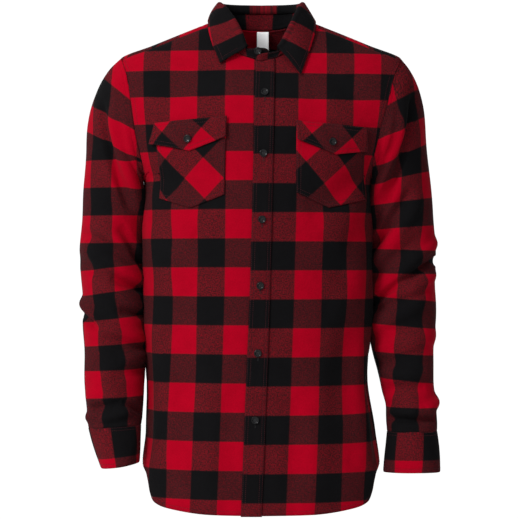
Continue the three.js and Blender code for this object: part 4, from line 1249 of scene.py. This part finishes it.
def button(name, at, axis):
    axis = unit(np.asarray(axis, float))
    aside = unit(np.cross(np.array([0, 0, 1.0]), axis))
    up = np.cross(axis, aside)
    basis = np.stack([aside, up, axis])
    around_it = np.linspace(0, 2 * np.pi, 41)[:-1]
    points = [(r * math.cos(a), r * math.sin(a), h) for r, h in PROFILE for a in around_it]
    faces, slots = [], []
    for j in range(len(PROFILE) - 1):
        for i in range(40):
            a, b = j * 40 + i, j * 40 + (i + 1) % 40
            faces.append((a, a + 40, b + 40, b))
            slots.append(0)
    for hx, hy in ((-1.15, -1.15), (1.15, -1.15), (1.15, 1.15), (-1.15, 1.15)):  # the four holes
        start = len(points)
        points += [(hx + 0.62 * math.cos(a), hy + 0.62 * math.sin(a), 1.52) for a in around_it[::4]]
        faces.append(tuple(range(start, start + 10)))
        slots.append(1)
    for side in (-1.15, 1.15):  # two bars of thread
        start = len(points)
        for k in range(7):
            s = k / 6 * 2 - 1
            h = 1.55 + 0.42 * (1 - s * s)
            points += [(side - 0.3, 1.15 * s, h), (side, 1.15 * s, h + 0.28), (side + 0.3, 1.15 * s, h)]
        for k in range(6):
            a = start + 3 * k
            faces += [(a, a + 1, a + 4, a + 3), (a + 1, a + 2, a + 5, a + 4)]
            slots += [1, 1]
    points = np.asarray(at) + np.array(points) @ basis
    piece = make(name, points, faces, {}, [HORN, BLACK_THREAD], slots)
    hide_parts(name)
    return piece


hole_points, hole_faces = [], []


def buttonhole(x, z, lift, low, high):
    """A worked slit: two rows of close stitches and a bar at each end."""
    for side in (-0.75, 0.75):
        zs = np.linspace(z + low, z + high, 24)
        points = on_front(x + side + 0 * zs, zs, lift)
        normals = body_normal(angle_at(x + 0 * zs, zs), zs)
        sew(points, normals, pitch=0.7, length=0.9, radius=0.35, into=(hole_points, hole_faces))
    for end in (low, high):
        xs = np.linspace(x - 1.3, x + 1.3, 8)
        points = on_front(xs, z + end + 0 * xs, lift)
        normals = body_normal(angle_at(xs, z + end), z + end + 0 * xs)
        sew(points, normals, pitch=0.9, length=1.0, radius=0.4, into=(hole_points, hole_faces))


button_pieces = {}
for k, z in enumerate(FRONT_BUTTONS):
    x = float(placket_x["edge"](z) + placket_x["seam"](z)) / 2
    name = "button_front_" + str(k + 1)
    axis = body_normal(angle_at(x, z), z)
    button_pieces[name] = button(name, on_front(x, np.float64(z), 3.9), axis)
    buttonhole(x, z, 3.75, -11.5, 5)
for side in ("right", "left"):
    x, z = POCKETS[side]["button"]
    name = "button_pocket_" + side
    button_pieces[name] = button(name, on_front(x, np.float64(z), 8.6), body_normal(angle_at(x, z), z))
    turn = OPENS + OVERLAP - 14
    inner, outer = [cuff_point(side, np.float64(turn), 0.5, l) for l in (0.0, 1.0)]
    name = "button_cuff_" + side
    button_pieces[name] = button(name, cuff_point(side, np.float64(turn), 0.5, 4.1 + 0.9), outer - inner)
low, high = body_point(-4.0, neck_z(4)), fold_point(356)
way = fold_point(358) - fold_point(354)
axis = unit(np.cross(way, high - low))
button_pieces["button_collar"] = button("button_collar", low + (high - low) * 0.7 + axis * 1.2, axis)

# ---------------------------------------------------------------- label
u, t = np.linspace(-0.5, 0.5, 12)[None, :], np.linspace(0, 1, 30)[:, None]
label_rows = np.stack(
    [
        3 + u * 19 + 0 * t,
        56.9 - 2.5 * t * t + 1.5 * (1 - t) + 0.5 * np.sin(t * 5 + u * 3) + 0 * u,
        -7 - 38 * (1 - t) + 0 * u,
    ],
    -1,
)
label_check = np.stack([u + 0 * t, t + 0 * u], -1)
label = shell("neck_label", label_rows, label_check, 0.8, material=TAPE)

# ---------------------------------------------------------------- stitching as two pieces
topstitching = make("topstitching", np.concatenate(stitch_points), stitch_faces, {}, [THREAD])
buttonholes = make("buttonhole_stitching", np.concatenate(hole_points), hole_faces, {}, [BLACK_THREAD])

# ---------------------------------------------------------------- floor, light and camera
floor_mesh = bpy.data.meshes.new("floor")
half, level = 1.45, -1.02
floor_corners = [(x * half, y * half, level) for x, y in ((-1, -1), (1, -1), (1, 1), (-1, 1))]
floor_mesh.from_pydata(floor_corners, [], [(0, 1, 2, 3)])
floor_mesh.materials.append(plain("floor_pale", (0.86, 0.86, 0.86, 1), 0.9, 0.2, scale=20.0))
floor = bpy.data.objects.new("floor", floor_mesh)
bpy.context.scene.collection.objects.link(floor)

scene = bpy.context.scene
world = bpy.data.worlds.new("studio")
scene.world = world
n = Nodes(world)
ahead = n.add("ShaderNodeTexCoord", out="Generated")


def light_from(direction, first, last, dark, bright):
    """Light that grows from dark to bright as a ray turns to a direction."""
    toward = n.add("ShaderNodeVectorMath", {0: ahead, 1: direction}, out="Value", operation="DOT_PRODUCT")
    return n.add("ShaderNodeMapRange", {0: toward, 1: first, 2: last, 3: dark, 4: bright})


# the room is bright in front, above and at the left, and dim at the right; some light comes from behind
front = light_from((-0.60, -0.70, 0.39), -0.30, 1.0, 0.03, 1.36)
behind = light_from((0.0, 0.9, 0.3), 0.45, 1.0, 0.0, 1.3)
room = n.math("ADD", front, behind)
room = n.add("ShaderNodeBackground", {"Color": (0.8, 0.8, 0.8, 1), "Strength": room})
wall = n.add("ShaderNodeBackground", {"Color": (1, 1, 1, 1), "Strength": 0.74})  # plain and white
direct = n.add("ShaderNodeLightPath", out="Is Camera Ray")
n.end("ShaderNodeOutputWorld", n.add("ShaderNodeMixShader", {0: direct, 1: room, 2: wall}))
scene.view_settings.view_transform = "Standard"
scene.view_settings.exposure = 0.5


def area_light(name, place, aim, size, power):
    data = bpy.data.lights.new(name, "AREA")
    data.shape = "DISK"
    data.size = size
    data.energy = power
    lamp = bpy.data.objects.new(name, data)
    lamp.location = place
    direction = np.array(aim, float) - np.array(place, float)
    lamp.rotation_euler = Vector(direction).to_track_quat("-Z", "Y").to_euler()
    scene.collection.objects.link(lamp)


area_light("key", (-2.4, -2.9, 1.7), (0, 0, -0.35), 1.2, 102)
area_light("fill", (2.2, -3.4, 0.4), (0, 0, -0.35), 2.2, 4)

camera_data = bpy.data.cameras.new("camera")
camera_data.lens = 175.6
camera_data.sensor_width = 36
camera = bpy.data.objects.new("camera", camera_data)
camera.location = (-0.0024, -4.0, -0.371)
camera.rotation_euler = (math.pi / 2, 0, 0)
scene.collection.objects.link(camera)
scene.camera = camera
